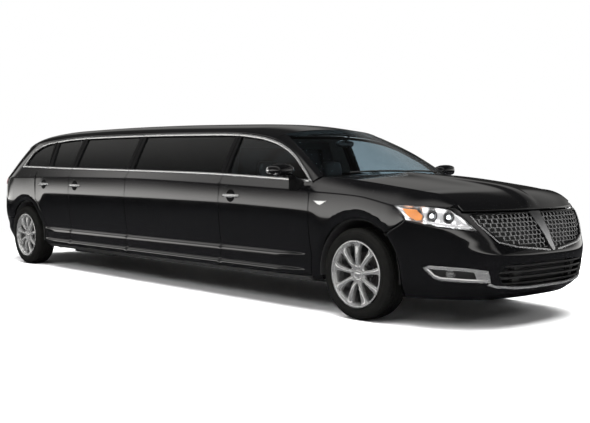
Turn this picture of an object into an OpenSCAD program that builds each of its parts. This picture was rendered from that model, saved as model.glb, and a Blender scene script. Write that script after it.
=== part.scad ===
// Stretch limousine with six side doors, a hinged bonnet and a tailgate.
// X points forwards, Z up; the origin lies on the road under the middle of the car.

/* [Overall] */
// Distance between the axles
wheelbase = 5820; // [5400:10:6400]
// Front axle to the foremost point
front_overhang = 1180; // [1120:5:1240]
// Rear axle to the rearmost point
rear_overhang = 1180; // [1130:5:1240]
// Width over the body, without mirrors
body_w = 1930; // [1860:5:1990]
// Height over the roof
body_h = 1690; // [1660:5:1730]

/* [Doors and windows] */
// Length of each front door
front_door_l = 1225; // [1150:5:1290]
// Length of each middle door
middle_door_l = 1245; // [1100:5:1350]
// Rear axle to the front edge of each rear door
rear_door_reach = 1160; // [1100:5:1220]
// Width of the shut lines
shut_gap = 7; // [6:0.5:9]
// Whole thickness of a door below the windows
door_t = 92; // [80:1:110]
// Thickness of the window frames
frame_t = 46; // [38:1:56]
// Thickness of the glass
glass_t = 5; // [4:0.5:6]
// Door hinge pin radius
hinge_r = 5; // [4:0.5:6]
// Play of a pin in its hole
pin_play = 0.1; // [0.05:0.01:0.2]

/* [Wheels] */
// Tyre outer diameter
tyre_d = 730; // [700:2:750]
// Tyre width
tyre_w = 245; // [225:1:255]
// Rim diameter over the lip
rim_d = 535; // [500:1:545]
// Distance between the wheels' middle planes
track = 1664; // [1640:2:1680]
// Spokes in each wheel
spokes = 9; // [7:1:11]
// Wheel arch radius
arch_r = 437; // [430:1:450]
// Wheel middle plane to the steering axis
kingpin_offset = 88; // [80:1:92]
// Wheel spindle radius
spindle_r = 24; // [20:1:30]

/* [Structure] */
// Floor underside above the road
floor_z = 262; // [250:1:280]
// Floor thickness
floor_t = 60; // [50:1:80]
// Body wall thickness
wall_t = 50; // [40:1:60]
// Bumper cover thickness
cover_t = 34; // [28:1:45]

/* [Hidden] */
$fn = 48;

// Stations along the car
half_w = body_w / 2;
nose_x = (wheelbase + front_overhang + rear_overhang) / 2;
tail_x = -nose_x;
front_axle_x = nose_x - front_overhang;
rear_axle_x = front_axle_x - wheelbase;
axle_z = tyre_d / 2;
front_door_x1 = front_axle_x - 535;
front_door_x0 = front_door_x1 - front_door_l;
rear_door_x1 = rear_axle_x + rear_door_reach;
middle_door_x1 = rear_door_x1 + middle_door_l;
rear_door_x0 = rear_axle_x + 300;
rear_frame_x = rear_axle_x + 550;
waist_z = 870;
sill_z = 250;

// Heights above the waist in the tables are for a roof 820 above it, and stretch with the body
lift = (body_h - waist_z) / 820;
function up(z) = z < waist_z ? z : waist_z + (z - waist_z) * lift;
function down(z) = z < waist_z ? z : waist_z + (z - waist_z) / lift;
function raised(outline) = [for (p = outline) [p[0], up(p[1])]];

// Lower side section: height, inset from the widest line
SILL = [[250, 95], [278, 48], [316, 14], [342, 30], [432, 22], [474, 42]];
ledge_z = 474;
ledge_inset = 42;
crease_inset = 11;

// Shoulder: station, crease height, window-sill height, window-sill inset
SHOULDER = [[tail_x, 1075, 1245, 78], [rear_axle_x, 1092, 1222, 70], [rear_door_x1, 1096, 1197, 66],
            [middle_door_x1, 1094, 1176, 66], [front_axle_x - 2110, 1062, 1150, 66],
            [front_axle_x - 810, 1019, 1100, 66], [front_axle_x - 550, 1010, 1088, 70],
            [front_axle_x, 984, 1080, 70], [front_axle_x + 400, 916, 1040, 70]];

// Roof rail over the doors: station, height below the roof's top
RAIL = [[rear_axle_x - 500, 252], [rear_axle_x - 190, 200], [rear_axle_x + 110, 168],
        [rear_axle_x + 460, 142],
        [rear_axle_x + 810, 122], [rear_door_x1 + 100, 112], [middle_door_x1, 118],
        [front_axle_x - 2110, 142],
        [front_axle_x - 1764, 156], [front_axle_x - 1610, 170], [front_axle_x - 1420, 193],
        [front_axle_x - 1195, 240], [front_axle_x - 940, 333], [front_axle_x - 665, 508],
        [front_axle_x - 548, 603]];

// Roof centre line: station, height below the roof's top
CROWN = [[rear_axle_x - 540, 92], [rear_axle_x - 390, 60], [rear_axle_x - 90, 24], [rear_axle_x + 410, 2],
         [rear_axle_x + 1410, 0], [middle_door_x1, 10], [front_axle_x - 2650, 28],
         [front_axle_x - 1690, 62],
         [front_axle_x - 1120, 132]];

// Front end: height, distance behind the foremost point, squareness of the corners in plan
NOSE = [[225, 150, 2.8], [300, 62, 3], [360, 32, 3], [450, 14, 3], [560, 0, 3], [640, 38, 3.4],
        [700, 70, 3.8],
        [780, 120, 4.4], [880, 195, 5], [945, 240, 5], [990, 305, 5], [1023, 385, 5], [1045, 490, 5]];
nose_inset_low = [[225, 75], [300, 26], [420, 5], [600, 0]];
corner_x = front_axle_x + 310;

// Rear end: height, distance ahead of the rearmost point
TAIL = [[290, 75], [420, 12], [560, 0], [800, 5], [1000, 18], [1060, 40], [1196, 145], [1330, 250],
        [1465, 375],
        [1560, 510], [1600, 632]];
tail_corner = 850;

// Bonnet: station at the middle, height; and edge line: station, half width
BONNET = [[front_axle_x - 470, 1168], [front_axle_x - 40, 1138], [front_axle_x + 470, 1078],
          [front_axle_x + 690, 1045], [front_axle_x + 790, 1023], [front_axle_x + 870, 990],
          [front_axle_x + 940, 943], [front_axle_x + 995, 886]];
BONNET_EDGE = [[front_axle_x - 480, 832], [front_axle_x, 815], [front_axle_x + 310, 798],
               [front_axle_x + 740, 748],
               [front_axle_x + 880, 722]];
bonnet_sweep = 0.0002245;
bonnet_crown = 26;
bonnet_t = 28;

// Smooth curve through a table: column c at station x
function span(t, x, i = 0) = i >= len(t) - 2 || x <= t[i + 1][0] ? i : span(t, x, i + 1);
function rise(t, i, c) = (t[i + 1][c] - t[i][c]) / (t[i + 1][0] - t[i][0]);
function mean_rise(a, b) = a * b <= 0 ? 0 : 2 * a * b / (a + b);
function slope(t, i, c) =
    i == 0 ? rise(t, 0, c) : i == len(t) - 1 ? rise(t, i - 1, c) : mean_rise(rise(t, i - 1, c), rise(t,
        i, c));
function hermite(p, d, a, b, u) = p + u * (a + u * ((3 * d - 2 * a - b) + u * (a + b - 2 * d)));
function curve(t, x, c = 1) =
    x <= t[0][0] ? t[0][c] :
    x >= t[len(t) - 1][0] ? t[len(t) - 1][c] :
    let (i = span(t, x), h = t[i + 1][0] - t[i][0])
    hermite(t[i][c], t[i + 1][c] - t[i][c], slope(t, i, c) * h, slope(t, i + 1, c) * h, (x - t[i][0]) / h);
function mix(a, b, u) = a + (b - a) * u;
function ramp(u) = u <= 0 ? 0 : u >= 1 ? 1 : u;

// Side surface: half width at a station and height
function crease_z(x) = up(curve(SHOULDER, x, 1));
function belt_z(x) = up(curve(SHOULDER, x, 2));
function belt_inset(x) = curve(SHOULDER, x, 3);
function rail_z(x) = body_h - lift * curve(RAIL, x);
function crown_z(x) = body_h - lift * curve(CROWN, x);
function shoulder_inset(x, z) =
    mix(crease_inset, belt_inset(x), (z - crease_z(x)) / (belt_z(x) - crease_z(x)));
function tumblehome(x, z) =
    let (h = (z - belt_z(x)) / lift) belt_inset(x) + h * (0.47 + h * 0.00014);
function inset(x, z) =
    z < ledge_z ? curve(SILL, z) :
    z < waist_z ? ledge_inset * pow((waist_z - z) / (waist_z - ledge_z), 2) :
    z < crease_z(x) ? crease_inset * pow((z - waist_z) / (crease_z(x) - waist_z), 2) :
    z < belt_z(x) ? shoulder_inset(x, z) : tumblehome(x, z);
function bow(x) = 10 * pow(ramp((x - front_axle_x + 1910) / 2220), 2);
function tail_end(z) = tail_x + curve(TAIL, down(z));
function tail_plan(x, z) = pow(1 - pow(ramp((tail_end(z) + tail_corner - x) / tail_corner), 2), 0.4);
function side_half(x, z) = (half_w - inset(x, z) - bow(x)) * tail_plan(x, z);
function side_pt(x, z, t) = [x, t - side_half(x, z), z];
function wall_depth(x, z) =
    z > belt_z(x) ? inset(x, z) + frame_t :
    mix(door_t, belt_inset(x) + frame_t, ramp((z - crease_z(x)) / (belt_z(x) - crease_z(x))));
function lining_pt(x, z) = [x, -(half_w - bow(x) - wall_depth(x, z)) * tail_plan(x, z), z];

// Bonnet surface and the fender beside it
function bonnet_s(x, y) = x + bonnet_sweep * y * y;
function bonnet_fade(m) = 1 - ramp((m - front_axle_x - 690) / 260);
function bonnet_z(x, y) =
    let (m = bonnet_s(x, y)) up(curve(BONNET, m) - bonnet_crown * pow(y / 800, 2) * bonnet_fade(m));
function bonnet_half(x) = curve(BONNET_EDGE, x);
function fender_top_z(x) = mix(belt_z(front_door_x1), bonnet_z(x, bonnet_half(x)),
    ramp((x - front_door_x1) / 70));
function fender_top_half(x) =
    mix(side_half(front_door_x1, belt_z(front_door_x1)), bonnet_half(x) + shut_gap,
        ramp((x - front_door_x1) / 70));
function nose_end(z) = nose_x - curve(NOSE, down(z));
function nose_square(z) = curve(NOSE, down(z), 2);
function nose_plan(x, z) =
    pow(1 - pow(ramp((x - corner_x) / (nose_end(z) - corner_x)), 2), 1 / nose_square(z));
function fender_low(x, z) = (half_w - bow(x) - (z > waist_z || x < front_axle_x ? inset(x,
    z) : 0)) * nose_plan(x, z);
function fender_half(x, z) =
    z <= crease_z(x) ? fender_low(x, z) :
    let (u = ramp((z - crease_z(x)) / (fender_top_z(x) - crease_z(x))))
    mix(fender_low(x, crease_z(x)), fender_top_half(x), u) + 9 * sin(180 * u);
function fender_pt(x, z, t) = [x, t - fender_half(x, z), z];

// Front end seen round the corner: q runs from -1 at the right corner to 1 at the left
function nose_side(q, z, t) =
    (half_w - bow(corner_x) - curve(nose_inset_low, z) - t) * pow(abs(sin(90 * q)), 2 / nose_square(z));
function nose_pt(q, z, t) =
    abs(q) <= 1 ? [corner_x + (nose_end(z) - corner_x - t) * cos(90 * q), sign(q) * nose_side(q, z, t), z] :
    [corner_x - (abs(q) - 1) * 600, sign(q) * nose_side(1, z, t), z];

// Rear end seen round the corner: q runs from 1 at the left corner to -1 at the right
function tail_side(x, z, t) =
    half_w - t - (x > rear_axle_x ? inset(x, z) : inset(x, max(z, 480)) + max(0, 420 - z) * 0.3);
function tail_pt(q, z, t) =
    let (x0 = tail_end(z) + tail_corner)
    abs(q) <= 1 ? [x0 - (tail_corner - t) * cos(90 * q), sign(q) * tail_side(x0, z,
        t) * pow(abs(sin(90 * q)), 0.8), z] :
    let (x = mix(x0, rear_frame_x + 20, abs(q) - 1)) [x, sign(q) * tail_side(x, z, t), z];

// Closed shell between an outer and an inner grid of points
module shell(outer, inner) {
    n = len(outer);
    m = len(outer[0]);
    o = n * m;
    flat = concat([for (c = outer) each c], [for (c = inner) each c]);
    skin = [for (i = [0 : n - 2], j = [0 : m - 2])
        let (a = i * m + j, b = a + m)
        each [[a, a + 1, b + 1], [a, b + 1, b], [o + a, o + b + 1, o + a + 1], [o + a, o + b, o + b + 1]]];
    ends = [for (j = [0 : m - 2])
        let (b = (n - 1) * m + j)
        each [[j + 1, j, o + j], [j + 1, o + j, o + j + 1], [b, b + 1, o + b + 1], [b, o + b + 1, o + b]]];
    rims = [for (i = [0 : n - 2])
        let (a = i * m, b = a + m, c = a + m - 1, d = b + m - 1)
        each [[a, b, o + b], [a, o + b, o + a], [d, c, o + c], [d, o + c, o + d]]];
    polyhedron(flat, concat(skin, ends, rims), convexity = 10);
}

// Copy of a right-hand piece on either side: s is -1 on the right, 1 on the left
module on_side(s) {
    mirror([0, s > 0 ? 1 : 0, 0]) children();
}

module both_sides() {
    on_side(-1) children();
    on_side(1) children();
}

// Prism through the right-hand side wall from an outline of stations and heights
module through_side(outline) {
    translate([0, -300, 0])
        rotate([90, 0, 0])
            linear_extrude(1000)
                polygon(outline);
}

// Prism through the front or rear from an outline of widths and heights
module through_end(outline, x0, depth) {
    translate([x0, 0, 0])
        rotate([90, 0, 90])
            linear_extrude(depth)
                polygon(outline);
}

// Heights of the side section's rows, from the sill to the window sill
function side_rows(x, z0) =
    concat([z0, 316, 342, 432, 474, 600, 735, waist_z, mix(waist_z, crease_z(x), 0.6), crease_z(x),
        belt_z(x)],
           [for (u = [0.25, 0.5, 0.75, 1]) mix(belt_z(x), max(rail_z(x), belt_z(x) + 8), u)]);

// Right-hand side wall between two stations, from height z0 up to the roof rail
module side_wall(stations, z0) {
    shell([for (x = stations) [for (z = side_rows(x, z0)) side_pt(x, z, 0)]],
          [for (x = stations) [for (z = side_rows(x, z0)) lining_pt(x, z)]]);
}

// Thin band of the side between two depths, from the crease upwards by a number of rows
crease_row = 9;
module side_band(stations, count, t0, t1) {
    rows = [for (x = stations) [for (j = [0 : count]) side_rows(x, sill_z)[crease_row + j]]];
    n = len(stations) - 1;
    shell([for (i = [0 : n]) [for (z = rows[i]) side_pt(stations[i], z, t0)]],
          [for (i = [0 : n]) [for (z = rows[i]) side_pt(stations[i], z, t1)]]);
}

function stations(x0, x1, n) = [for (i = [0 : n]) mix(x0, x1, i / n)];

// Door outlines below the roof rail: front edge, rear edge and foot
door_z = 302;
half_gap = shut_gap / 2;
function rail_edge(x0, x1, n, d) = [for (x = stations(x0, x1, n)) [x, rail_z(x) - d]];
front_door_outline = concat(
    [[front_door_x1 - half_gap, door_z], [front_door_x1 - half_gap, belt_z(front_door_x1) - 10]],
    rail_edge(front_door_x1 - 25, front_door_x0 + half_gap, 14, shut_gap),
    [[front_door_x0 + half_gap, door_z]]);
middle_door_outline = concat(
    [[middle_door_x1 - half_gap, door_z]],
    rail_edge(middle_door_x1 - half_gap, rear_door_x1 + half_gap, 6, shut_gap),
    [[rear_door_x1 + half_gap, door_z]]);
dogleg_r = arch_r + 118;
function dogleg(d) =
    [for (a = [56 : -11 : -9]) [rear_axle_x + (dogleg_r - d) * cos(a), axle_z + (dogleg_r - d) * sin(a)]];
function rear_door_outline(d) = concat(
    [[rear_door_x1 - half_gap + d, door_z - d]],
    rail_edge(rear_door_x1 - half_gap + d, rear_frame_x - 70 - d, 6, shut_gap - 3 * d),
    [[rear_frame_x - d, belt_z(rear_frame_x) + d], [rear_door_x0 - d, belt_z(rear_door_x0) + d]],
    dogleg(d),
    [[rear_axle_x + (dogleg_r - d) * cos(9), door_z - d]]);

// Window openings
window_sill = 13;
window_head = 34;
function sill_edge(x0, x1, n) = [for (x = stations(x0, x1, n)) [x, belt_z(x) + window_sill]];
front_window = concat(
    sill_edge(front_door_x0 + 48, front_door_x1 - 105, 4),
    rail_edge(front_door_x1 - 128, front_door_x0 + 40, 12, window_head));
stretch_window = concat(
    sill_edge(middle_door_x1 + 68, front_door_x0 - 52, 3),
    rail_edge(front_door_x0 - 60, middle_door_x1 + 58, 4, window_head));
middle_window = concat(
    sill_edge(rear_door_x1 + 58, middle_door_x1 - 62, 3),
    rail_edge(middle_door_x1 - 72, rear_door_x1 + 48, 4, window_head));
rear_window = concat(
    sill_edge(rear_frame_x + 70, rear_door_x1 - 48, 2),
    rail_edge(rear_door_x1 - 58, rear_frame_x - 20, 4, window_head));
quarter_window = concat(
    sill_edge(rear_axle_x - 95, rear_frame_x - 32, 3),
    [[rear_frame_x - 140, rail_z(rear_frame_x - 140) - window_head],
    [rear_axle_x + 250, rail_z(rear_axle_x + 250) - 40],
     [rear_axle_x + 110, up(1460)], [rear_axle_x - 20, up(1392)], [rear_axle_x - 80, up(1310)]]);

// Door hinges: a pin near the skin, on an arm that reaches out from the post behind the door
hinge_z = [772, up(946)];
hinge_back = 13;
hinge_deep = 13;
arm_h = 20;
arm_w = 11;
post_gap = 7;
post_d = 52;
function hinge_x(x1) = x1 - half_gap - hinge_back;
function hinge_y(x1) = -(half_w - bow(x1) - hinge_deep);
function post_y(x1) = -(half_w - bow(x1) - door_t - post_gap);

module door_hinges(x1) {
    for (z = hinge_z)
        translate([hinge_x(x1), hinge_y(x1), z]) {
            translate([0, 0, -arm_h * 1.4]) cylinder(h = arm_h * 2.8, r = hinge_r + pin_play);
            translate([-hinge_r - 4, -hinge_r - 4, -arm_h / 2 - 2])
                cube([hinge_back + 30, door_t + 40, arm_h + 4]);
        }
}

module hinge_arms(x1) {
    for (z = hinge_z)
        translate([hinge_x(x1), hinge_y(x1), z]) {
            translate([0, 0, -arm_h * 1.3]) cylinder(h = arm_h * 2.6, r = hinge_r);
            translate([0, 0, -arm_h / 2]) cylinder(h = arm_h, r = hinge_r + 2.5);
            translate([-arm_w / 2, 0, -arm_h / 2]) cube([arm_w, post_y(x1) - hinge_y(x1) + 12, arm_h]);
        }
}

module door(s, x0, x1, n, outline, window) {
    color([0.06, 0.06, 0.07])
        on_side(s)
            difference() {
                intersection() {
                    side_wall(stations(x0 - 20, x1 + 20, n), door_z - 30);
                    through_side(outline);
                }
                through_side(window);
                door_hinges(x1);
            }
}

module door_fr() { door(-1, front_door_x0, front_door_x1, 8, front_door_outline, front_window); }
module door_fl() { door(1, front_door_x0, front_door_x1, 8, front_door_outline, front_window); }
module door_mr() { door(-1, rear_door_x1, middle_door_x1, 5, middle_door_outline, middle_window); }
module door_ml() { door(1, rear_door_x1, middle_door_x1, 5, middle_door_outline, middle_window); }
module door_rr() { door(-1, rear_door_x0, rear_door_x1, 5, rear_door_outline(0), rear_window); }
module door_rl() { door(1, rear_door_x0, rear_door_x1, 5, rear_door_outline(0), rear_window); }

glass_in = 16;
module pane(x0, x1, n, window) {
    color([0.1, 0.12, 0.12])
        intersection() {
            side_band(stations(x0 - 20, x1 + 20, n), 5, glass_in, glass_in + glass_t);
            through_side(window);
        }
}

module glass_fr() { on_side(-1) pane(front_door_x0, front_door_x1, 8, front_window); }
module glass_fl() { on_side(1) pane(front_door_x0, front_door_x1, 8, front_window); }
module glass_mr() { on_side(-1) pane(rear_door_x1, middle_door_x1, 5, middle_window); }
module glass_ml() { on_side(1) pane(rear_door_x1, middle_door_x1, 5, middle_window); }
module glass_rr() { on_side(-1) pane(rear_door_x0, rear_door_x1, 5, rear_window); }
module glass_rl() { on_side(1) pane(rear_door_x0, rear_door_x1, 5, rear_window); }

module fixed_glass() {
    both_sides() {
        pane(middle_door_x1, front_door_x0, 5, stretch_window);
        color([0.1, 0.12, 0.12])
            intersection() {
                quarter_shell(glass_in, glass_in + glass_t, 4, 11, 5, 11);
                through_side(quarter_window);
            }
    }
}

module stretch_panels() {
    x0 = middle_door_x1 + half_gap;
    x1 = front_door_x0 - half_gap;
    color([0.06, 0.06, 0.07])
        both_sides()
            difference() {
                side_wall(stations(x0, x1, 8), sill_top_z + 0.3);
                through_side(stretch_window);
                through_side(concat(rail_edge(x0 - 5, x1 + 5, 8, 1.6), [[x1 + 5, body_h],
                    [x0 - 5, body_h]]));
            }
}

// Quarter panel: rows of heights at each place round the rear corner
quarter_q = [0.615, 0.68, 0.78, 0.88, 1, 1.12, 1.26, 1.42, 1.58, 1.72, 1.84, 2];
function quarter_x(q, z) = abs(tail_pt(q, z, 0)[0]) * -1;
function quarter_top(q) = rail_z(quarter_x(q, rail_z(quarter_x(q, up(1470))))) - 1.3;
QUARTER_LOW = [[0.6, 574], [1, 574], [1.3, 620], [1.6, 600], [1.76, 255], [2, 255]];
function quarter_rows(q) =
    let (z0 = curve(QUARTER_LOW, q), x = quarter_x(q, up(1000)))
    concat([for (u = [0, 0.3, 0.6, 1]) mix(z0, waist_z, u)],
        [mix(waist_z, crease_z(x), 0.6), crease_z(x), belt_z(x)],
           [for (u = [0.2, 0.4, 0.6, 0.8, 1]) mix(belt_z(x), quarter_top(q), u)]);
module quarter_shell(t0, t1, q0 = 0, q1 = 11, r0 = 0, r1 = 11) {
    rows = [for (i = [q0 : q1]) [for (j = [r0 : r1]) quarter_rows(quarter_q[i])[j]]];
    shell([for (i = [q0 : q1]) [for (z = rows[i - q0]) tail_pt(-quarter_q[i], z, t0)]],
          [for (i = [q0 : q1]) [for (z = rows[i - q0]) tail_pt(-quarter_q[i], z, t1)]]);
}

module arch(x) {
    translate([x, -half_w - 50, axle_z])
        rotate([-90, 0, 0])
            cylinder(h = 400, r = arch_r);
}

module quarter_panels() {
    color([0.06, 0.06, 0.07])
        both_sides()
            difference() {
                quarter_shell(0, wall_t);
                arch(rear_axle_x);
                through_side(rear_door_outline(shut_gap));
                through_side(quarter_window);
            }
}

// Roof with its rails, between the windshield and the tailgate
windshield_top_x = front_axle_x - 1120;
windshield_sweep_top = 90;
roof_rear_x = rear_axle_x - 540;
roof_t = 40;
function roof_front(y) = windshield_top_x - windshield_sweep_top * pow(min(abs(y), 600) / 600,
    2) - half_gap;
function roof_rear(s) = roof_rear_x + 150 * s * s + half_gap;
function roof_half(x) = side_half(x, rail_z(x));
function roof_z(x, s) = mix(rail_z(x), crown_z(x), pow(1 - pow(abs(s), 2.5), 0.714));
roof_u = [0, 0.03, 0.07, 0.13, 0.2, 0.29, 0.4, 0.52, 0.63, 0.73, 0.81, 0.87, 0.91, 0.945, 0.975, 1];
roof_s = [-1, -0.985, -0.95, -0.89, -0.8, -0.65, -0.45, -0.2, 0, 0.2, 0.45, 0.65, 0.8, 0.89, 0.95,
          0.985, 1];
function roof_pt(u, s, t, d) =
    let (x = mix(roof_rear(s), roof_front(s * 720), u))
    [x, s * (roof_half(x) - t), roof_z(x, s) - d * (1 - pow(abs(s), 8))];
module roof() {
    color([0.06, 0.06, 0.07])
        union() {
            shell([for (u = roof_u) [for (s = roof_s) roof_pt(u, s, 0, 0)]],
                  [for (u = roof_u) [for (s = roof_s) roof_pt(u, s, frame_t, roof_t)]]);
            gate_arms();
        }
}

// Windshield: u runs up the glass, v across it
windshield_base_x = front_axle_x - 300;
function windshield_pt(u, v, t) =
    [mix(windshield_base_x, windshield_top_x, u) - v * v * mix(200, windshield_sweep_top, u) - t * 0.45,
     v * mix(813, 600, u),
     up(mix(1150, 1560, u) - v * v * mix(18, 48, u) + 40 * u * (1 - u)) - t * 0.89];
module windshield() {
    color([0.2, 0.23, 0.23])
        shell([for (i = [0 : 8]) [for (j = [0 : 10]) windshield_pt(0.997 - i / 8.03, j / 5 - 1, 0)]],
              [for (i = [0 : 8]) [for (j = [0 : 10]) windshield_pt(0.997 - i / 8.03, j / 5 - 1, glass_t)]]);
}

// Windshield pillar, between the glass edge and the front door's frame
pillar_u = [0, 0.12, 0.28, 0.46, 0.64, 0.82, 0.985];
function pillar_door(u) =
    let (x = mix(front_door_x1 - 12, roof_front(700) + 0.4, u)) [x, -side_half(x, rail_z(x)), rail_z(x)];
function pillar_skin(u, v) =
    let (b = 14 * sin(180 * v))
    mix(pillar_door(u), windshield_pt(u, -1, 0) - [0, 0.9, 0], v) + [b * 0.4, -b * 0.7, b * 0.5];
function pillar_lining(u, v) =
    let (p = pillar_skin(u, v) + mix([2, 40, 2], [-18, 0, -36], v)) [max(p[0],
        roof_front(700) + 0.4), p[1], p[2]];
module pillars() {
    color([0.06, 0.06, 0.07])
        both_sides()
            shell([for (i = [0 : 6]) [for (v = [0, 0.33, 0.67, 1]) pillar_skin(pillar_u[6 - i], v)]],
                  [for (i = [0 : 6]) [for (v = [0, 0.33, 0.67, 1]) pillar_lining(pillar_u[6 - i], v)]]);
}

// Bonnet
bonnet_f = [0, 0.15, 0.3, 0.45, 0.6, 0.72, 0.8, 0.86, 0.91, 0.95, 0.98, 1];
bonnet_v = [-1, -0.85, -0.6, -0.35, -0.15, -0.06, 0, 0.06, 0.15, 0.35, 0.6, 0.85, 1];
function bonnet_rear(y) = windshield_base_x + 34 - 200 * pow(y / 813, 2);
function bonnet_front(y) = front_axle_x + 993 - bonnet_sweep * y * y;
function bonnet_ridge(y) = 11 * exp(-pow(y / 130, 2));
function bonnet_pt(f, s, d) =
    let (y = s * bonnet_half(mix(front_axle_x - 480, front_axle_x + 880, f)),
         x = mix(bonnet_rear(y), bonnet_front(y), f))
    [x - (f > 0.9 ? d * 0.3 : 0), y, bonnet_z(x, y) + bonnet_ridge(y) * bonnet_fade(bonnet_s(x, y)) - d];
bonnet_pin_x = front_axle_x - 461;
bonnet_pin_z = bonnet_z(bonnet_pin_x, 800) - 15;
module bonnet_pin(r) {
    translate([bonnet_pin_x, -bonnet_half(bonnet_pin_x) - 22, bonnet_pin_z])
        rotate([-90, 0, 0])
            cylinder(h = 90, r = r);
}
module hood() {
    color([0.06, 0.06, 0.07])
        difference() {
            shell([for (f = bonnet_f) [for (s = bonnet_v) bonnet_pt(f, s, 0)]],
                  [for (f = bonnet_f) [for (s = bonnet_v) bonnet_pt(f, s, mix(bonnet_t, 11,
                  ramp((f - 0.8) / 0.2)))]]);
            both_sides() bonnet_pin(hinge_r + pin_play);
        }
}

// Headlamp outline seen from the side, and the gap round its lens
lamp_gap = 2.5;
lamp_outline = [[front_axle_x + 402, 917], [front_axle_x + 470, 921], [front_axle_x + 640, 914],
                [front_axle_x + 800, 897], [front_axle_x + 905, 820], [front_axle_x + 975, 742],
                [front_axle_x + 780, 768], [front_axle_x + 640, 790], [front_axle_x + 500, 816]];

module lamp_prism(d) {
    translate([0, -300, 0])
        rotate([90, 0, 0])
            linear_extrude(1000)
                offset(delta = d)
                    polygon(raised(lamp_outline));
}

// Fender: lower edge along the arch and the bumper, then the headlamp
FENDER_LOW = [[front_axle_x - 440, 282], [front_axle_x - 280, 560], [front_axle_x, 690],
              [front_axle_x + 280, 692],
              [front_axle_x + 347, 729], [front_axle_x + 490, 807], [front_axle_x + 570, 850],
              [front_axle_x + 690, 872], [front_axle_x + 880, 894]];
fender_x = [for (d = [-535 + half_gap, -490, -440, -380, -280, -140, 0, 140, 280, 340, 400, 470, 550,
            640, 720, 780, 830])
    front_axle_x + d];
function fender_rows(x) =
    let (z0 = up(curve(FENDER_LOW, x)), c = crease_z(x), w = z0 < 780 ? waist_z : mix(z0, c, 0.6))
    concat([for (u = [0, 0.25, 0.5, 0.75, 1]) mix(z0, w, u)], [for (u = [0.5, 1]) mix(w, c, u)],
           [for (u = [0.25, 0.5, 0.75, 1]) mix(c, fender_top_z(x), u)]);
fender_t = 40;
flange_t = 3;
function fender_u(x, z) = ramp((z - crease_z(x)) / (fender_top_z(x) - crease_z(x)));
function fender_inner(x, z) =
    fender_pt(x, z, mix(fender_t, flange_t, fender_u(x, z))) - [0, 0, 44 * fender_u(x, z)];
module front_fenders() {
    color([0.06, 0.06, 0.07])
        both_sides()
            difference() {
                shell([for (x = fender_x) [for (z = fender_rows(x)) fender_pt(x, z, 0)]],
                      [for (x = fender_x) [for (z = fender_rows(x)) fender_inner(x, z)]]);
                arch(front_axle_x);
                lamp_prism(lamp_gap);
            }
    color([0.06, 0.06, 0.07])
        both_sides() bonnet_pin(hinge_r);
}

// Front bumper cover, with openings for the grilles, lamps and fog lamps
NOSE_TOP = [[0, 863], [0.1, 866], [0.36, 868], [0.6, 864], [0.7, 856], [0.8, 824], [0.87, 779],
            [0.95, 727], [1, 689],
            [1.1, 676], [1.3, 676]];
nose_q = [-1.25, -1.1, -1, -0.93, -0.86, -0.78, -0.7, -0.6, -0.5, -0.4, -0.3, -0.2, -0.1, 0];
all_nose_q = concat(nose_q, [for (i = [12 : -1 : 0]) -nose_q[i]]);
nose_rows = [225, 262, 300, 360, 450, 560];
function nose_upper(q) = let (top = curve(NOSE_TOP, abs(q))) [for (u = [0.2, 0.4, 0.6, 0.8,
    1]) mix(560, top, u)];
function nose_column(q, t) = [for (z = concat(nose_rows, nose_upper(q))) nose_pt(q, z, t)];

// Shell of the front end between two depths, from place i0 to i1 and row r0 to r1
module nose_shell(t0, t1, i0 = 0, i1 = 26, r0 = 0, r1 = 10) {
    shell([for (i = [i0 : i1]) [for (j = [r0 : r1]) nose_column(all_nose_q[i], t0)[j]]],
          [for (i = [i0 : i1]) [for (j = [r0 : r1]) nose_column(all_nose_q[i], t1)[j]]]);
}

upper_grille = [[42, 856], [400, 860], [690, 860], [662, 800], [545, 668], [400, 632], [200, 612],
                [60, 596], [42, 600]];
lower_grille = [[-560, 425], [-520, 490], [-200, 506], [200, 506], [520, 490], [560, 425], [510, 348],
                [250, 326],
                [-250, 326], [-510, 348]];
fog_outline = [[-888, 452], [-872, 475], [-740, 464], [-632, 446], [-604, 366], [-740, 374],
               [-868, 384], [-886, 405]];

module bumper_front() {
    color([0.06, 0.06, 0.07])
        difference() {
            nose_shell(0, cover_t);
            both_sides() {
                arch(front_axle_x);
                lamp_prism(lamp_gap);
                through_end(upper_grille, nose_x - 450, 600);
                through_end(fog_outline, front_axle_x + 440, 900);
            }
            through_end(lower_grille, nose_x - 300, 400);
        }
}

module headlamps() {
    color([0.8, 0.82, 0.85])
        both_sides()
            union() {
                intersection() {
                    lamp_shell(3, 62);
                    lamp_prism(0);
                }
                intersection() {
                    lamp_shell(22, 62);
                    lamp_prism(lamp_gap - 0.3);
                }
            }
}

lamp_x = [for (d = [390, 440, 500, 570, 640, 710, 780, 840, 890, 930, 960]) front_axle_x + d];
function lamp_half(x, z) = (half_w - bow(x)) * nose_plan(x, z);
function lamp_top(x) = up(min(928, 905 + (front_axle_x + 800 - x) * 0.1));
function lamp_rows(x) = [for (u = [0 : 0.2 : 1]) mix(730, lamp_top(x), u)];
module lamp_shell(t0, t1) {
    shell([for (x = lamp_x) [for (z = lamp_rows(x)) [x - t0 * 0.5, t0 - lamp_half(x, z), z]]],
          [for (x = lamp_x) [for (z = lamp_rows(x)) [x - t1 * 0.6, t1 - lamp_half(x, z), z]]]);
}

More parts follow.
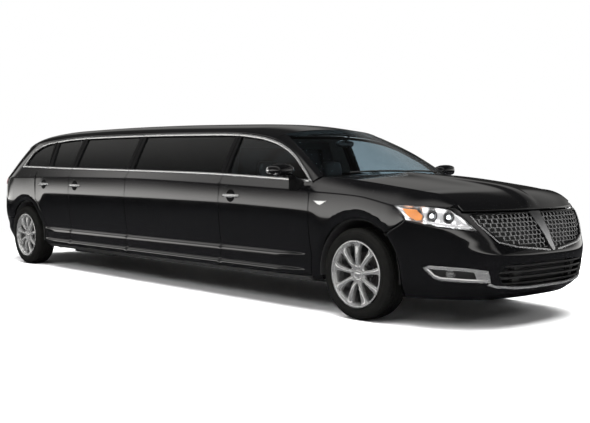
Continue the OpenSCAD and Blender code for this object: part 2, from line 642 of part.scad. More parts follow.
// Grilles: a woven pattern of bars behind each opening
grille_pitch_y = 62;
grille_pitch_z = 42;
grille_bar = 14;
module grille_holes(y0, y1, z0, z1) {
    for (y = [y0 : grille_pitch_y : y1], z = [z0 : grille_pitch_z : z1])
        translate([nose_x - 450, y, z])
            cube([600, grille_pitch_y - grille_bar, grille_pitch_z - grille_bar]);
}
module grilles() {
    color([0.5, 0.5, 0.52]) {
        both_sides()
            difference() {
                intersection() {
                    nose_shell(14, 30, 7, 13, 5, 10);
                    through_end(upper_grille, nose_x - 450, 600);
                }
                grille_holes(60, 640, 612, 820);
            }
        intersection() {
            for (z = [340, 384, 428, 472])
                shell([for (i = [7 : 19]) [for (h = [z, z + 16]) nose_pt(all_nose_q[i], h, 8)]],
                      [for (i = [7 : 19]) [for (h = [z, z + 16]) nose_pt(all_nose_q[i], h, 30)]]);
            through_end(lower_grille, nose_x - 300, 400);
        }
    }
}

module fog_bezels() {
    color([0.7, 0.7, 0.72])
        both_sides()
            intersection() {
                nose_shell(8, 28, 2, 9, 3, 5);
                through_end(fog_outline, front_axle_x + 440, 900);
            }
}

// Rear bumper, tailgate and lamps
tail_q = [1, 0.92, 0.84, 0.76, 0.68, 0.6, 0.5, 0.4, 0.3, 0.2, 0.1, 0];
all_tail_q = concat(tail_q, [for (i = [10 : -1 : 0]) -tail_q[i]]);
function tail_column(q, t) = [for (z = [290, 330, 400, 470, 567]) tail_pt(q, z, t)];
module bumper_rear() {
    color([0.06, 0.06, 0.07])
        difference() {
            shell([for (q = all_tail_q) tail_column(q, 0)], [for (q = all_tail_q) tail_column(q, cover_t)]);
            both_sides() arch(rear_axle_x);
        }
}

gate_q = [for (q = all_tail_q) if (abs(q) < 0.61) q];
GATE_TOP = [[0, 90], [0.3, 104], [0.5, 150], [0.62, 220]];
gate_z = 576;
function gate_rows(q) =
    let (top = body_h - lift * curve(GATE_TOP, abs(q)))
    concat([for (z = [gate_z, 700, 840, 1000, 1060, 1130, 1196]) up(z)],
           [for (u = [0.25, 0.5, 0.75, 1]) mix(up(1196), top, u)]);
rear_glass = [[-600, 1250], [-300, 1236], [300, 1236], [600, 1250], [490, 1480], [300, 1530],
              [-300, 1530], [-490, 1480]];
lamp_bar = [[-720, 1004], [720, 1004], [720, 1092], [-720, 1092]];
module gate_shell(t0, t1, r0 = 0, r1 = 10) {
    rows = [for (q = gate_q) [for (j = [r0 : r1]) gate_rows(q)[j]]];
    n = len(gate_q) - 1;
    shell([for (i = [0 : n]) [for (z = rows[i]) tail_pt(gate_q[i], z, t0)]],
          [for (i = [0 : n]) [for (z = rows[i]) tail_pt(gate_q[i], z, t1)]]);
}
// Tailgate hinges: pins on arms under the rear of the roof
gate_pin_x = roof_rear_x - 26;
gate_pin_z = body_h - 108.5 * lift;
gate_gap = 14;
gate_pin_y = 270;
module gate_arms() {
    for (y = [-gate_pin_y, gate_pin_y])
        translate([gate_pin_x, y, gate_pin_z]) {
            translate([0, 26, 0]) rotate([90, 0, 0]) cylinder(h = 52, r = hinge_r);
            translate([0, 9, 0]) rotate([90, 0, 0]) cylinder(h = 18, r = hinge_r + 4);
            translate([0, -9, -9]) cube([60, 18, 18]);
        }
}
module roof_footprint() {
    edge = [for (s = roof_s) [roof_rear(s) - gate_gap, s * 760]];
    translate([0, 0, body_h - 390 * lift])
        linear_extrude(600 * lift)
            polygon(concat(edge, [[roof_rear_x + 500, 760], [roof_rear_x + 500, -760]]));
}
module gate_slots() {
    for (y = [-gate_pin_y, gate_pin_y])
        translate([gate_pin_x, y, gate_pin_z]) {
            translate([0, 28, 0]) rotate([90, 0, 0]) cylinder(h = 56, r = hinge_r + pin_play);
            translate([-15, -12, -16]) cube([120, 24, 120]);
        }
}
module tailgate() {
    color([0.06, 0.06, 0.07])
        difference() {
            gate_shell(0, wall_t);
            through_end(raised(rear_glass), tail_x - 100, 900);
            gate_slots();
            roof_footprint();
        }
}
module tailgate_glass() {
    color([0.08, 0.09, 0.09])
        intersection() {
            gate_shell(10, 10 + glass_t, 6, 10);
            through_end(raised(rear_glass), tail_x - 100, 900);
        }
}
module tailgate_lamp() {
    color([0.6, 0.03, 0.03])
        intersection() {
            gate_shell(-6, 0, 3, 5);
            through_end(raised(lamp_bar), tail_x - 100, 900);
        }
}
tail_lamp = [[rear_axle_x - 640, 1000], [rear_axle_x - 640, 1088], [rear_axle_x - 1100, 1088],
             [rear_axle_x - 1100, 1000]];
module tail_lamps() {
    color([0.6, 0.03, 0.03])
        both_sides()
            intersection() {
                quarter_shell(-6, 0, 0, 4, 3, 6);
                through_side(raised(tail_lamp));
            }
}

// Mirrors stand off the front doors on short feet that follow the door's skin
mirror_x = front_door_x1 - 200;
mirror_reach = 235;
mirror_z = belt_z(mirror_x) + 30;
module mirror_body() {
    color([0.06, 0.06, 0.07])
        translate([mirror_x, -half_w, mirror_z])
            hull() {
                translate([-70, 20 - mirror_reach, 0]) cube([20, 210, 106]);
                translate([-20, -mirror_reach, 8]) cube([20, 235, 92]);
                translate([60, 60 - mirror_reach, 22]) cube([14, 140, 60]);
            }
    color([0.06, 0.06, 0.07])
        intersection() {
            translate([mirror_x - 30, -half_w - 40, mirror_z - 62]) cube([110, 200, 84]);
            side_band(stations(front_door_x0 - 20, front_door_x1 + 20, 8), 4, -130, -0.3);
        }
}
module mirror_r() { on_side(-1) mirror_body(); }
module mirror_l() { on_side(1) mirror_body(); }

// Wheels and tyres about their own axis; +Z of the profile faces outwards
lip_r = rim_d / 2;
module wheel_profile() {
    rotate_extrude($fn = 96)
        polygon([[lip_r, 118], [lip_r - 14, 118], [lip_r - 20, 96], [lip_r - 30, 84],
            [lip_r - 34, -100], [lip_r - 14, -118],
                 [lip_r, -118], [lip_r - 3, -104], [lip_r - 17, -92], [lip_r - 17, 92], [lip_r - 3, 104]]);
}
module wheel_dish() {
    difference() {
        rotate_extrude($fn = 96)
            polygon([[0, 78], [60, 78], [66, 92], [110, 104], [lip_r - 60, 100], [lip_r - 28, 92],
                [lip_r - 28, 52],
                     [lip_r - 70, 62], [110, 60], [70, 40], [0, 40]]);
        for (i = [0 : spokes - 1])
            rotate([0, 0, (i + 0.5) * 360 / spokes])
                translate([0, 0, 20])
                    linear_extrude(120)
                        polygon([[92, -8], [lip_r - 54, -60], [lip_r - 42, -62], [lip_r - 36, -50],
                            [lip_r - 31, -20],
                                 [lip_r - 31, 20], [lip_r - 36, 50], [lip_r - 42, 62],
                                 [lip_r - 54, 60], [92, 8]]);
        for (i = [0 : 4])
            rotate([0, 0, i * 72])
                translate([57, 0, 66]) cylinder(h = 60, r = 11, $fn = 24);
    }
    translate([0, 0, 70]) cylinder(h = 22, r = 33);
}
module wheel_hub() {
    translate([0, 0, -20]) cylinder(h = 62, r = 68);
    translate([0, 0, -45]) cylinder(h = 26, r = 168, $fn = 64);
}
module wheel(x, y) {
    color([0.75, 0.76, 0.78])
        translate([x, y, axle_z])
            rotate([y < 0 ? 90 : -90, 0, 0]) {
                difference() {
                    union() {
                        wheel_profile();
                        wheel_dish();
                        wheel_hub();
                    }
                    translate([0, 0, -60]) cylinder(h = 60, r = spindle_r + pin_play);
                }
            }
}
module tyre(x, y) {
    color([0.03, 0.03, 0.03])
        translate([x, y, axle_z])
            rotate([y < 0 ? 90 : -90, 0, 0])
                rotate_extrude($fn = 96)
                    polygon([[lip_r - 17, 90], [lip_r + 2, 98], [lip_r + 9, 114], [lip_r + 28, 120],
                        [lip_r + 55, tyre_w / 2],
                             [tyre_d / 2 - 22, 114], [tyre_d / 2 - 6, 98], [tyre_d / 2, 70],
                             [tyre_d / 2, -70],
                             [tyre_d / 2 - 6, -98], [tyre_d / 2 - 22, -114], [lip_r + 55, -tyre_w / 2],
                             [lip_r + 28, -120], [lip_r + 9, -114], [lip_r + 2, -98], [lip_r - 17, -90]]);
}
wheel_y = track / 2;
module wheel_fr() { wheel(front_axle_x, -wheel_y); }
module wheel_fl() { wheel(front_axle_x, wheel_y); }
module wheel_rr() { wheel(rear_axle_x, -wheel_y); }
module wheel_rl() { wheel(rear_axle_x, wheel_y); }
module tyre_fr() { tyre(front_axle_x, -wheel_y); }
module tyre_fl() { tyre(front_axle_x, wheel_y); }
module tyre_rr() { tyre(rear_axle_x, -wheel_y); }
module tyre_rl() { tyre(rear_axle_x, wheel_y); }

// Knuckles: an upright on the steering axis with the spindle that carries the wheel
kingpin_y = wheel_y - kingpin_offset;
kingpin_r = 20;
kingpin_h = 190;
module knuckle(s) {
    color([0.3, 0.3, 0.32])
        on_side(s)
            translate([front_axle_x, -kingpin_y, axle_z]) {
                translate([0, 0, -kingpin_h / 2]) cylinder(h = kingpin_h, r = kingpin_r);
                rotate([90, 0, 0]) cylinder(h = kingpin_offset - 2, r = spindle_r);
                rotate([90, 0, 0]) cylinder(h = 30, r = 36);
            }
}
module knuckle_r() { knuckle(-1); }
module knuckle_l() { knuckle(1); }

// Suspension arms, springs and the rear axle
arm_t = 26;
module suspension() {
    color([0.22, 0.22, 0.23]) {
        both_sides() {
            translate([front_axle_x, -kingpin_y, axle_z - kingpin_h / 2 - arm_t - 0.3])
                cylinder(h = arm_t, r = 38);
            translate([front_axle_x - 30, -kingpin_y, axle_z - kingpin_h / 2 - arm_t - 0.3])
                cube([60, kingpin_y - 330, arm_t]);
            translate([front_axle_x, -kingpin_y, axle_z + kingpin_h / 2 + 0.3]) cylinder(h = arm_t, r = 38);
            translate([front_axle_x - 25, -kingpin_y, axle_z + kingpin_h / 2 + 0.3])
                cube([50, kingpin_y - 330, arm_t]);
            translate([rear_axle_x, -wheel_y + 2, axle_z])
                rotate([-90, 0, 0]) cylinder(h = 150, r = spindle_r);
            translate([rear_axle_x, -wheel_y + 60, axle_z])
                rotate([-90, 0, 0]) cylinder(h = wheel_y - 60, r = 42);
            translate([rear_axle_x, -560, axle_z]) cylinder(h = boot_z - axle_z - 0.3, r = 55);
        }
        translate([rear_axle_x - 130, -130, axle_z - 110]) cube([260, 260, 230]);
        translate([front_axle_x - 260, -330, 215]) cube([520, 660, 70]);
        for (y = [-rail_y + 0.3, rail_y - 40.3])
            translate([front_axle_x - 60, y, 280]) cube([120, 40, 220]);
    }
}

// Floor, sills, hinge posts, firewall and chassis rails
sill_top_z = door_z - shut_gap;
floor_half = 770;
boot_z = 520;
boot_half = 640;
boot_end = 290;
bracket_q = [for (q = all_tail_q) if (abs(q) < 0.45) q];
floor_x0 = rear_axle_x + 480;
floor_x1 = front_axle_x - 520;
sill_x0 = rear_frame_x + 25;
sill_x1 = front_door_x1 - shut_gap;
firewall_x = front_axle_x - 520;
rail_y = 340;
jack_r = 32;
jack_drop = 12;
jack_x = [rear_axle_x + 720, front_axle_x - 720];
module hinge_post(x1) {
    translate([hinge_x(x1) - 45, post_y(x1), sill_top_z - 5])
        cube([120, post_d, crease_z(x1) - 15 - sill_top_z]);
    hinge_arms(x1);
}
module floor_pan() {
    color([0.12, 0.12, 0.13]) {
        translate([floor_x0, -floor_half, floor_z]) cube([floor_x1 - floor_x0, 2 * floor_half, floor_t]);
        translate([tail_x + boot_end, -boot_half, boot_z])
            cube([floor_x0 - tail_x - boot_end, 2 * boot_half, 50]);
        intersection() {
            translate([tail_x, -300, 470]) cube([boot_end + 40, 600, 60]);
            shell([for (q = bracket_q) tail_column(q, cover_t + 0.3)],
                [for (q = bracket_q) tail_column(q, 420)]);
        }
        translate([floor_x0 - 1, -boot_half, floor_z]) cube([50, 2 * boot_half, boot_z - floor_z + 50]);
        translate([firewall_x - 30, -floor_half, floor_z]) cube([30, 2 * floor_half, up(1062) - floor_z]);
        both_sides() {
            translate([sill_x1, 0, 0])
                rotate([90, 0, -90])
                    linear_extrude(sill_x1 - sill_x0)
                        polygon([[half_w - 92, sill_z + 2], [half_w - 52, 276], [half_w - 28, sill_top_z],
                                 [floor_half - 5, sill_top_z], [floor_half - 5, sill_z + 2]]);
            for (x1 = [front_door_x1, middle_door_x1, rear_door_x1]) hinge_post(x1);
            translate([firewall_x - 10, -rail_y - 60, 340]) cube([1150, 60, 110]);
            intersection() {
                translate([firewall_x + 1100, -rail_y - 60, 340]) cube([600, 60, 200]);
                nose_shell(cover_t + 0.3, 500, 9, 13, 2, 5);
            }
            for (x = jack_x)
                translate([x, -half_w + 140, sill_z + 2 - jack_drop])
                    cylinder(h = jack_drop + 5, r = jack_r);
        }
    }
}

module engine() {
    color([0.35, 0.35, 0.37])
        translate([front_axle_x + 60, -rail_y + 0.3, 360]) cube([600, 2 * rail_y - 0.6, 480]);
}

pipe_r = 30;
module exhaust() {
    color([0.45, 0.45, 0.47]) {
        translate([rear_axle_x + 700, 170, floor_z - pipe_r - 2])
            rotate([0, 90, 0]) cylinder(h = 4300, r = pipe_r);
        translate([rear_axle_x + 1700, 170, floor_z - 62]) rotate([0, 90, 0]) cylinder(h = 700, r = 62);
    }
}

module fuel_tank() {
    color([0.1, 0.1, 0.1])
        translate([rear_axle_x + 560, -560, floor_z - 90]) cube([900, 600, 90]);
}

// Cowl between the bonnet and the windshield
cowl_v = [-1, -0.8, -0.6, -0.4, -0.2, 0, 0.2, 0.4, 0.6, 0.8, 1];
cowl_gap = 12;
function cowl_pt(v, f, d) =
    let (p = windshield_pt(0, v * 0.9513, 0), y = p[1], x1 = bonnet_rear(y) - cowl_gap)
    [mix(p[0] - 60, x1, f), y, mix(p[2] - 6, bonnet_z(x1, y) - 26, f) - d];
module cowl() {
    color([0.04, 0.04, 0.04])
        shell([for (f = [0, 0.5, 1]) [for (v = cowl_v) cowl_pt(v, f, 0)]],
              [for (f = [0, 0.5, 1]) [for (v = cowl_v) cowl_pt(v, f, 30)]]);
}

// Cabin fittings
dash_half = 735;
dash_section = [[firewall_x - 30.3, 700], [firewall_x - 30.3, 1075], [firewall_x - 240, 1082],
                [firewall_x - 330, 1060],
                [firewall_x - 400, 980], [firewall_x - 380, 850], [firewall_x - 300, 760],
                [firewall_x - 180, 700]];
module dashboard() {
    color([0.1, 0.1, 0.1]) {
        translate([0, dash_half, 0])
            rotate([90, 0, 0])
                linear_extrude(2 * dash_half)
                    polygon(raised(dash_section));
        translate([firewall_x - 1200, -110, floor_z + floor_t]) cube([1000, 220, 380]);
    }
}

wheel_rim_r = 185;
column_y = 390;
module steering_wheel() {
    color([0.08, 0.08, 0.08])
        difference() {
            translate([firewall_x - 600, column_y, up(985)])
                rotate([0, 115, 0]) {
                    rotate_extrude() translate([wheel_rim_r, 0]) circle(r = 16, $fn = 24);
                    translate([0, 0, -22]) cylinder(h = 40, r = 62);
                    for (a = [0, 90, 180])
                        rotate([0, 0, a + 90]) translate([50, -16, -10]) cube([wheel_rim_r - 55, 32, 18]);
                    translate([0, 0, 10]) cylinder(h = 330, r = 26);
                }
            translate([0, dash_half, 0])
                rotate([90, 0, 0])
                    linear_extrude(2 * dash_half)
                        offset(delta = 0.3) polygon(raised(dash_section));
        }
}

// Seats as sections across their width: cushion, back, and a head restraint on two posts
seat_section = [[0, 0], [480, 0], [500, 120], [548, 168], [552, 222], [530, 262], [480, 283],
                [400, 286], [200, 262],
                [128, 272], [60, 470], [-8, 690], [-34, 716], [-76, 722], [-118, 702], [-132, 660],
                [-92, 440],
                [-30, 180]];
restraint_section = [[-30, 0], [30, 0], [46, 40], [44, 110], [24, 168], [-14, 176], [-40, 140], [-46, 60]];
seat_w = 510;
seat_y = 420;
module across(w, section) {
    translate([0, w / 2, 0])
        rotate([90, 0, 0])
            linear_extrude(w)
                polygon(section);
}
module front_seats() {
    color([0.12, 0.12, 0.12])
        for (y = [-seat_y, seat_y])
            translate([front_door_x0 + 160, y, floor_z + floor_t]) {
                across(seat_w, seat_section);
                translate([-82, 0, 764]) across(250, restraint_section);
                for (p = [-70, 70])
                    translate([-84, p, 690]) cylinder(h = 110, r = 7);
            }
}

partition_x = front_door_x0 - 230;
partition_outline = [[-floor_half, floor_z + floor_t], [floor_half, floor_z + floor_t],
                     [floor_half, 1100], [640, 1480],
                     [-640, 1480], [-floor_half, 1100]];
partition_window = [[-600, 1080], [600, 1080], [540, 1400], [-540, 1400]];
module partition() {
    color([0.1, 0.1, 0.1])
        translate([partition_x, 0, 0])
            rotate([90, 0, 90])
                linear_extrude(45)
                    difference() {
                        polygon(raised(partition_outline));
                        polygon(raised(partition_window));
                    }
}

bench_x0 = floor_x0 + 60;
bench_section = [[0, 0], [560, 0], [590, 60], [604, 220], [590, 272], [540, 292], [300, 280],
                 [214, 290], [150, 520],
                 [92, 800], [64, 838], [10, 846], [-28, 818], [-34, 770], [-8, 480]];
couch_section = [[300, 0], [740, 0], [744, 640], [730, 678], [690, 690], [652, 668], [630, 320],
                 [600, 286], [360, 292],
                 [312, 276], [292, 230]];
module lounge_seats() {
    color([0.12, 0.12, 0.12]) {
        translate([bench_x0, 0, floor_z + floor_t]) across(1240, bench_section);
        translate([bench_x0 + 900, 0, floor_z + floor_t])
            rotate([90, 0, 90])
                linear_extrude(partition_x - bench_x0 - 1300)
                    polygon(couch_section);
    }
}

floor_pan();
roof();
pillars();
front_fenders();
stretch_panels();
quarter_panels();
bumper_front();
bumper_rear();
grilles();
headlamps();
fog_bezels();
windshield();
cowl();
fixed_glass();
engine();
exhaust();
fuel_tank();
suspension();
dashboard();
steering_wheel();
front_seats();
partition();
lounge_seats();
hood();
tailgate();
tailgate_glass();
tailgate_lamp();
tail_lamps();
door_fr();
door_fl();
door_mr();
door_ml();
door_rr();
door_rl();
glass_fr();
glass_fl();
glass_mr();
glass_ml();
glass_rr();
glass_rl();
mirror_r();
mirror_l();
knuckle_r();
knuckle_l();
wheel_fr();
wheel_fl();
wheel_rr();
wheel_rl();
tyre_fr();
tyre_fl();
tyre_rr();
tyre_rl();
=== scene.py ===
"""Stretch limousine with six side doors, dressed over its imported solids. Lengths in the tables are in mm."""
import math
from bisect import bisect_right

import bpy
import bmesh
from mathutils import Matrix, Vector
from mathutils.geometry import delaunay_2d_cdt


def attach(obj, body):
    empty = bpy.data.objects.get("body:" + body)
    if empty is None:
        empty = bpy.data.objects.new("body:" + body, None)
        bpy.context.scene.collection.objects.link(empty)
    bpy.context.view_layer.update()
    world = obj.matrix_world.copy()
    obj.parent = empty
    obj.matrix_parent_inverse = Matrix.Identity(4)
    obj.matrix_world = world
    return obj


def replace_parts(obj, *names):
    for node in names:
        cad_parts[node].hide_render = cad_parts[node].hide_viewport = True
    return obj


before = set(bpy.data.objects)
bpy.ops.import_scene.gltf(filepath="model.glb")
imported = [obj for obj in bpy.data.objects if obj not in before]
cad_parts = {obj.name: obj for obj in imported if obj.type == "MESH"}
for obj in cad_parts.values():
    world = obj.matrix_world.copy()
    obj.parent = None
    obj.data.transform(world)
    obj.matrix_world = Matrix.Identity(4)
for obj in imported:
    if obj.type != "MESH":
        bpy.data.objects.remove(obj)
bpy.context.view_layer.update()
scene = bpy.context.scene
scene.view_settings.view_transform = "Standard"


# Studio: a seamless pale floor under a white sky, a long strip light at horizon height whose glow
# fades upwards, and a dark mat round the car that polished paint mirrors in place of the floor.
class Wire:
    """A socket in a node tree. Sums, products and the like of wires add their own Math nodes."""

    def __init__(self, tree, end=None):
        self.tree, self.end = tree, end

    def node(self, kind, settings=None, links=None, out=0):
        made = self.tree.nodes.new("ShaderNode" + kind)
        for key, value in (settings or {}).items():
            if key == "stops":
                stops = made.color_ramp.elements
                while len(stops) < len(value):
                    stops.new(1.0)
                for stop, (place, colour) in zip(stops, value):
                    stop.position, stop.color = place, colour
            else:
                setattr(made, key, value)
        for key, value in (links or {}).items():
            if isinstance(value, Wire):
                self.tree.links.new(value.end, made.inputs[key])
            else:
                made.inputs[key].default_value = value
        return Wire(self.tree, made.outputs[out])

    def maths(self, operation, a, b=0.0):
        return self.node("Math", {"operation": operation}, {0: a, 1: b})

    def __add__(self, other):
        return self.maths("ADD", self, other)

    __radd__ = __add__

    def __sub__(self, other):
        return self.maths("SUBTRACT", self, other)

    def __rsub__(self, other):
        return self.maths("SUBTRACT", other, self)

    def __mul__(self, other):
        return self.maths("MULTIPLY", self, other)

    __rmul__ = __mul__

    def __pow__(self, other):
        return self.maths("POWER", self, other)

    def ramp(self, low, high):
        return self.node("MapRange", {"interpolation_type": "SMOOTHSTEP"},
                         {0: self, 1: low, 2: high, 3: 0.0, 4: 1.0})

    def mix(self, a, b):
        return self.node("Mix", {"data_type": "RGBA"}, {0: self, 6: a, 7: b}, out=2)

    def here(self):
        return self.node("TexCoord", out="Object")

    def axes(self):
        split = self.here().node("SeparateXYZ", {}, {0: self.here()}).end.node
        return [Wire(self.tree, split.outputs[i]) for i in range(3)]

    def noise(self, scale, detail=2.0, stretch=(1, 1, 1)):
        place = self.node("Mapping", {}, {"Vector": self.here(), "Scale": stretch})
        return self.node("TexNoise", {}, {"Vector": place, "Scale": scale, "Detail": detail})

    def bump(self, height, strength, distance):
        return self.node("Bump", {}, {"Height": height, "Strength": strength, "Distance": distance})


def surface(name, fixed, varied):
    """A Principled material: fixed values on its own sockets, and wires for what changes over the piece."""
    mat = bpy.data.materials.new(name)
    mat.use_nodes = True
    shader = mat.node_tree.nodes["Principled BSDF"]
    for key, value in fixed.items():
        shader.inputs[key].default_value = value
    for key, wire in varied(Wire(mat.node_tree)).items():
        mat.node_tree.links.new(wire.end, shader.inputs[key])
    return mat


def drifting(shade, dark, pale, rough, spread, grain):
    """A look whose colour drifts between two shades, and whose roughness varies a little."""
    return lambda w: {"Base Color": w.noise(*shade).mix((*dark, 1), (*pale, 1)),
                      "Roughness": rough + spread * w.noise(*grain)}


def plain_mesh(name, points, faces, mats, face_mats=None):
    mesh = bpy.data.meshes.new(name)
    mesh.from_pydata(points, [], faces)
    for mat in mats:
        mesh.materials.append(mat)
    if face_mats:
        mesh.polygons.foreach_set("material_index", face_mats)
    mesh.polygons.foreach_set("use_smooth", [True] * len(mesh.polygons))
    mesh.validate()
    made = bpy.data.objects.new(name, mesh)
    scene.collection.objects.link(made)
    return made


def glow(name, build):
    mat = bpy.data.materials.new(name)
    mat.use_nodes = True
    tree = mat.node_tree
    tree.nodes.clear()
    out = tree.nodes.new("ShaderNodeOutputMaterial")
    tree.links.new(build(Wire(tree)).end, out.inputs["Surface"])
    return mat


def floor_look(w):
    x, y = w.axes()[:2]
    far = ((x * x + (y * 1.25) * (y * 1.25)) ** 0.5).ramp(5.5, 9.0)
    pale = w.node("BsdfDiffuse", {}, {"Color": (0.86, 0.86, 0.86, 1)})
    white = w.node("Emission", {}, {"Color": (1, 1, 1, 1), "Strength": 1.0})
    return w.node("MixShader", {}, {0: far, 1: pale, 2: white})


DEGREES = 57.2958


def tent_look(w):
    x, y, z = w.axes()
    turn = w.maths("ARCTAN2", z, 0 - y) * DEGREES
    way = w.maths("ARCTAN2", y, x) * DEGREES
    band = 1.75 * turn.ramp(-0.6, 0.5) * (1 - turn.ramp(0.5, 15)) ** 1.5
    strip = 0.60 * turn.ramp(46, 68) * (1 - turn.ramp(74, 94))
    streak = 0.16 * turn.ramp(140, 152) * (1 - turn.ramp(156, 168))
    far_side = 0.9 * turn.ramp(160, 178) * (1 - way.ramp(96, 112) * (1 - way.ramp(158, 166)))
    level = band + strip + streak + far_side + 0.02 + 0.06 * turn.ramp(0, 4) * (1 - turn.ramp(60, 80))
    return w.node("Emission", {}, {"Color": (1, 0.985, 0.96, 1), "Strength": level})


def mat_look(w):
    return w.node("BsdfDiffuse", {}, {"Color": (0.016, 0.016, 0.017, 1)})


ring = [(math.cos(i * math.pi / 32), math.sin(i * math.pi / 32)) for i in range(64)]
floor = plain_mesh("floor", [(60 * c, 60 * s, 0) for c, s in ring], [list(range(64))], [glow("pale_floor", floor_look)])
mat_plane = plain_mesh("dark_mat", [(55 * c, 55 * s, 0.004) for c, s in ring], [list(range(64))],
                       [glow("dark_mat", mat_look)])
rows = [i * math.pi / 40 for i in range(-2, 21)]
tent = plain_mesh("light_tent", [(40 * c * math.cos(e), 40 * s * math.cos(e), 40 * math.sin(e)) for e in rows
                                 for c, s in ring],
                  [(j * 64 + i, j * 64 + (i + 1) % 64, (j + 1) * 64 + (i + 1) % 64, (j + 1) * 64 + i)
                   for j in range(len(rows) - 1) for i in range(64)], [glow("light_tent", tent_look)])
for thing in (mat_plane, tent):
    thing.visible_camera = thing.visible_diffuse = thing.visible_transmission = thing.visible_shadow = False

world = bpy.data.worlds.new("white_sky")
world.use_nodes = True
scene.world = world
sky = Wire(world.node_tree)
path = sky.node("LightPath").end.node
seen = Wire(sky.tree, path.outputs["Is Camera Ray"]) + Wire(sky.tree, path.outputs["Is Glossy Ray"]) \
    + Wire(sky.tree, path.outputs["Is Transmission Ray"])
world.node_tree.links.new((0.24 + 0.76 * seen.ramp(0, 1)).end, world.node_tree.nodes["Background"].inputs["Strength"])
world.node_tree.nodes["Background"].inputs["Color"].default_value = (1, 1, 1, 1)

for name, place, aim, size, power in (
        ("strip_right", (0, -8, 5.5), (0, 0, 0.6), (14, 2.5), 420),
        ("strip_left", (0, 8, 5.5), (0, 0, 0.6), (14, 2.5), 120),
        ("strip_front", (11, 0, 5), (2, 0, 0.6), (7, 2.5), 130),
        ("overhead", (1.2, -0.6, 8.0), (1.2, -0.6, 0), (15, 9), 4200)):
    lamp = bpy.data.lights.new(name, "AREA")
    lamp.shape, lamp.size, lamp.size_y, lamp.energy = "RECTANGLE", size[0], size[1], power
    stand = bpy.data.objects.new(name, lamp)
    stand.location = place
    stand.rotation_euler = (Vector(aim) - Vector(place)).to_track_quat("-Z", "Y").to_euler()
    stand.visible_glossy = False
    scene.collection.objects.link(stand)

lens = bpy.data.cameras.new("view")
lens.sensor_width, lens.lens = 36.0, 54.86
lens.clip_end = 300
eye = bpy.data.objects.new("view", lens)
eye.location = (7.834, -5.989, 1.182)
eye.rotation_euler = (math.radians(90 - 2.64), 0, math.radians(48.17))
scene.collection.objects.link(eye)
scene.camera = eye


# Front, middle and rear doors: pressed steel skins over a folded inner frame, painted gloss black and
# hung on pins at their front edges. The skin tucks in under a crease, and steps out in two ledges
# above the sill.
BODY_H, HALF_W, NOSE_X = 1690, 965, 4090
FRONT_X, REAR_X, AXLE_Z, ARCH_R = 2910, -2910, 365, 437
LEDGE_Z, GAP = 490, 7
DOOR_F1, DOOR_F0, DOOR_M1, DOOR_R1, DOOR_R0, FRAME_X = 2375, 1150, -505, -1750, -2610, -2360
DOOR_Z = 302


class Line:
    """Smooth curve through rows of a table, without overshoot: at(x) gives a column's value."""

    def __init__(self, rows):
        self.rows = rows
        self.xs = [r[0] for r in rows]
        self.slopes = []
        for c in range(1, len(rows[0])):
            rise = [(b[c] - a[c]) / (b[0] - a[0]) for a, b in zip(rows, rows[1:])]
            mean = [0 if a * b <= 0 else 2 * a * b / (a + b) for a, b in zip(rise, rise[1:])]
            self.slopes.append([rise[0]] + mean + [rise[-1]])

    def at(self, x, c=1):
        r = self.rows
        if x <= self.xs[0]:
            return r[0][c]
        if x >= self.xs[-1]:
            return r[-1][c]
        i = bisect_right(self.xs, x) - 1
        h = r[i + 1][0] - r[i][0]
        d, a, b = r[i + 1][c] - r[i][c], self.slopes[c - 1][i] * h, self.slopes[c - 1][i + 1] * h
        u = (x - r[i][0]) / h
        return r[i][c] + u * (a + u * ((3 * d - 2 * a - b) + u * (a + b - 2 * d)))


def mix(a, b, u):
    return a + (b - a) * u


def ramp(u):
    return 0 if u <= 0 else 1 if u >= 1 else u


sill_line = Line([(250, 95), (278, 48), (297, 16), (303, 13.6), (308, 13.9), (342, 16.3), (347, 16.8),
                  (354, 30), (420, 24), (428, 21.6), (433, 21.9), (472, 24.4), (477, 24.9), (484, 38), (490, 42)])
plain_sill = Line([(250, 95), (278, 60), (316, 46), (342, 44), (432, 43), (490, 42)])
waist = Line([(-3420, 620), (-3330, 690), (-2910, 760), (-2530, 690), (-2470, 740), (-2420, 850), (-2370, 897),
              (-2200, 903), (-505, 888), (1150, 868), (1900, 842), (2375, 812), (2430, 786), (2480, 735),
              (2530, 690), (2910, 660), (3210, 665), (3270, 700), (3340, 750), (3420, 815), (3700, 850)])
shoulder = Line([(-4090, 1075, 1245, 78), (-2910, 1092, 1222, 70), (-1750, 1096, 1197, 66), (-505, 1094, 1176, 66),
                 (800, 1062, 1150, 66), (2100, 1019, 1100, 66), (2360, 1010, 1088, 70), (2910, 984, 1080, 70),
                 (3310, 916, 1040, 70)])
rail = Line([(-3410, 252), (-3100, 200), (-2800, 168), (-2450, 142), (-2100, 122), (-1650, 112), (-505, 118),
             (800, 142), (1146, 156), (1300, 170), (1490, 193), (1715, 240), (1970, 333), (2245, 508), (2362, 603)])
TAIL_DEPTH = 850
tail_line = Line([(290, 75), (420, 12), (560, 0), (800, 5), (1000, 18), (1060, 40), (1196, 145), (1330, 250),
                  (1465, 375), (1560, 510), (1600, 632)])


def crease_z(x):
    return shoulder.at(x, 1)


def belt_z(x):
    return shoulder.at(x, 2)


def rail_z(x):
    return BODY_H - rail.at(x)


def bow(x):
    return 10 * ramp((x - 1000) / 2220) ** 2


def inset(x, z):
    c, b = crease_z(x), belt_z(x)
    if z < LEDGE_Z:
        return mix(sill_line.at(z), plain_sill.at(z), max(ramp((x - 1950) / 370), ramp((-2180 - x) / 250)))
    w = waist.at(x)
    if z < w:
        return 42 * ((w - z) / (w - LEDGE_Z)) ** 2
    if z < c:
        return 11 * ((z - w) / (c - w)) ** 2
    w = shoulder.at(x, 3)
    if z < b:
        return mix(11, w, (z - c) / (b - c))
    return w + (z - b) * (0.47 + (z - b) * 0.00014)


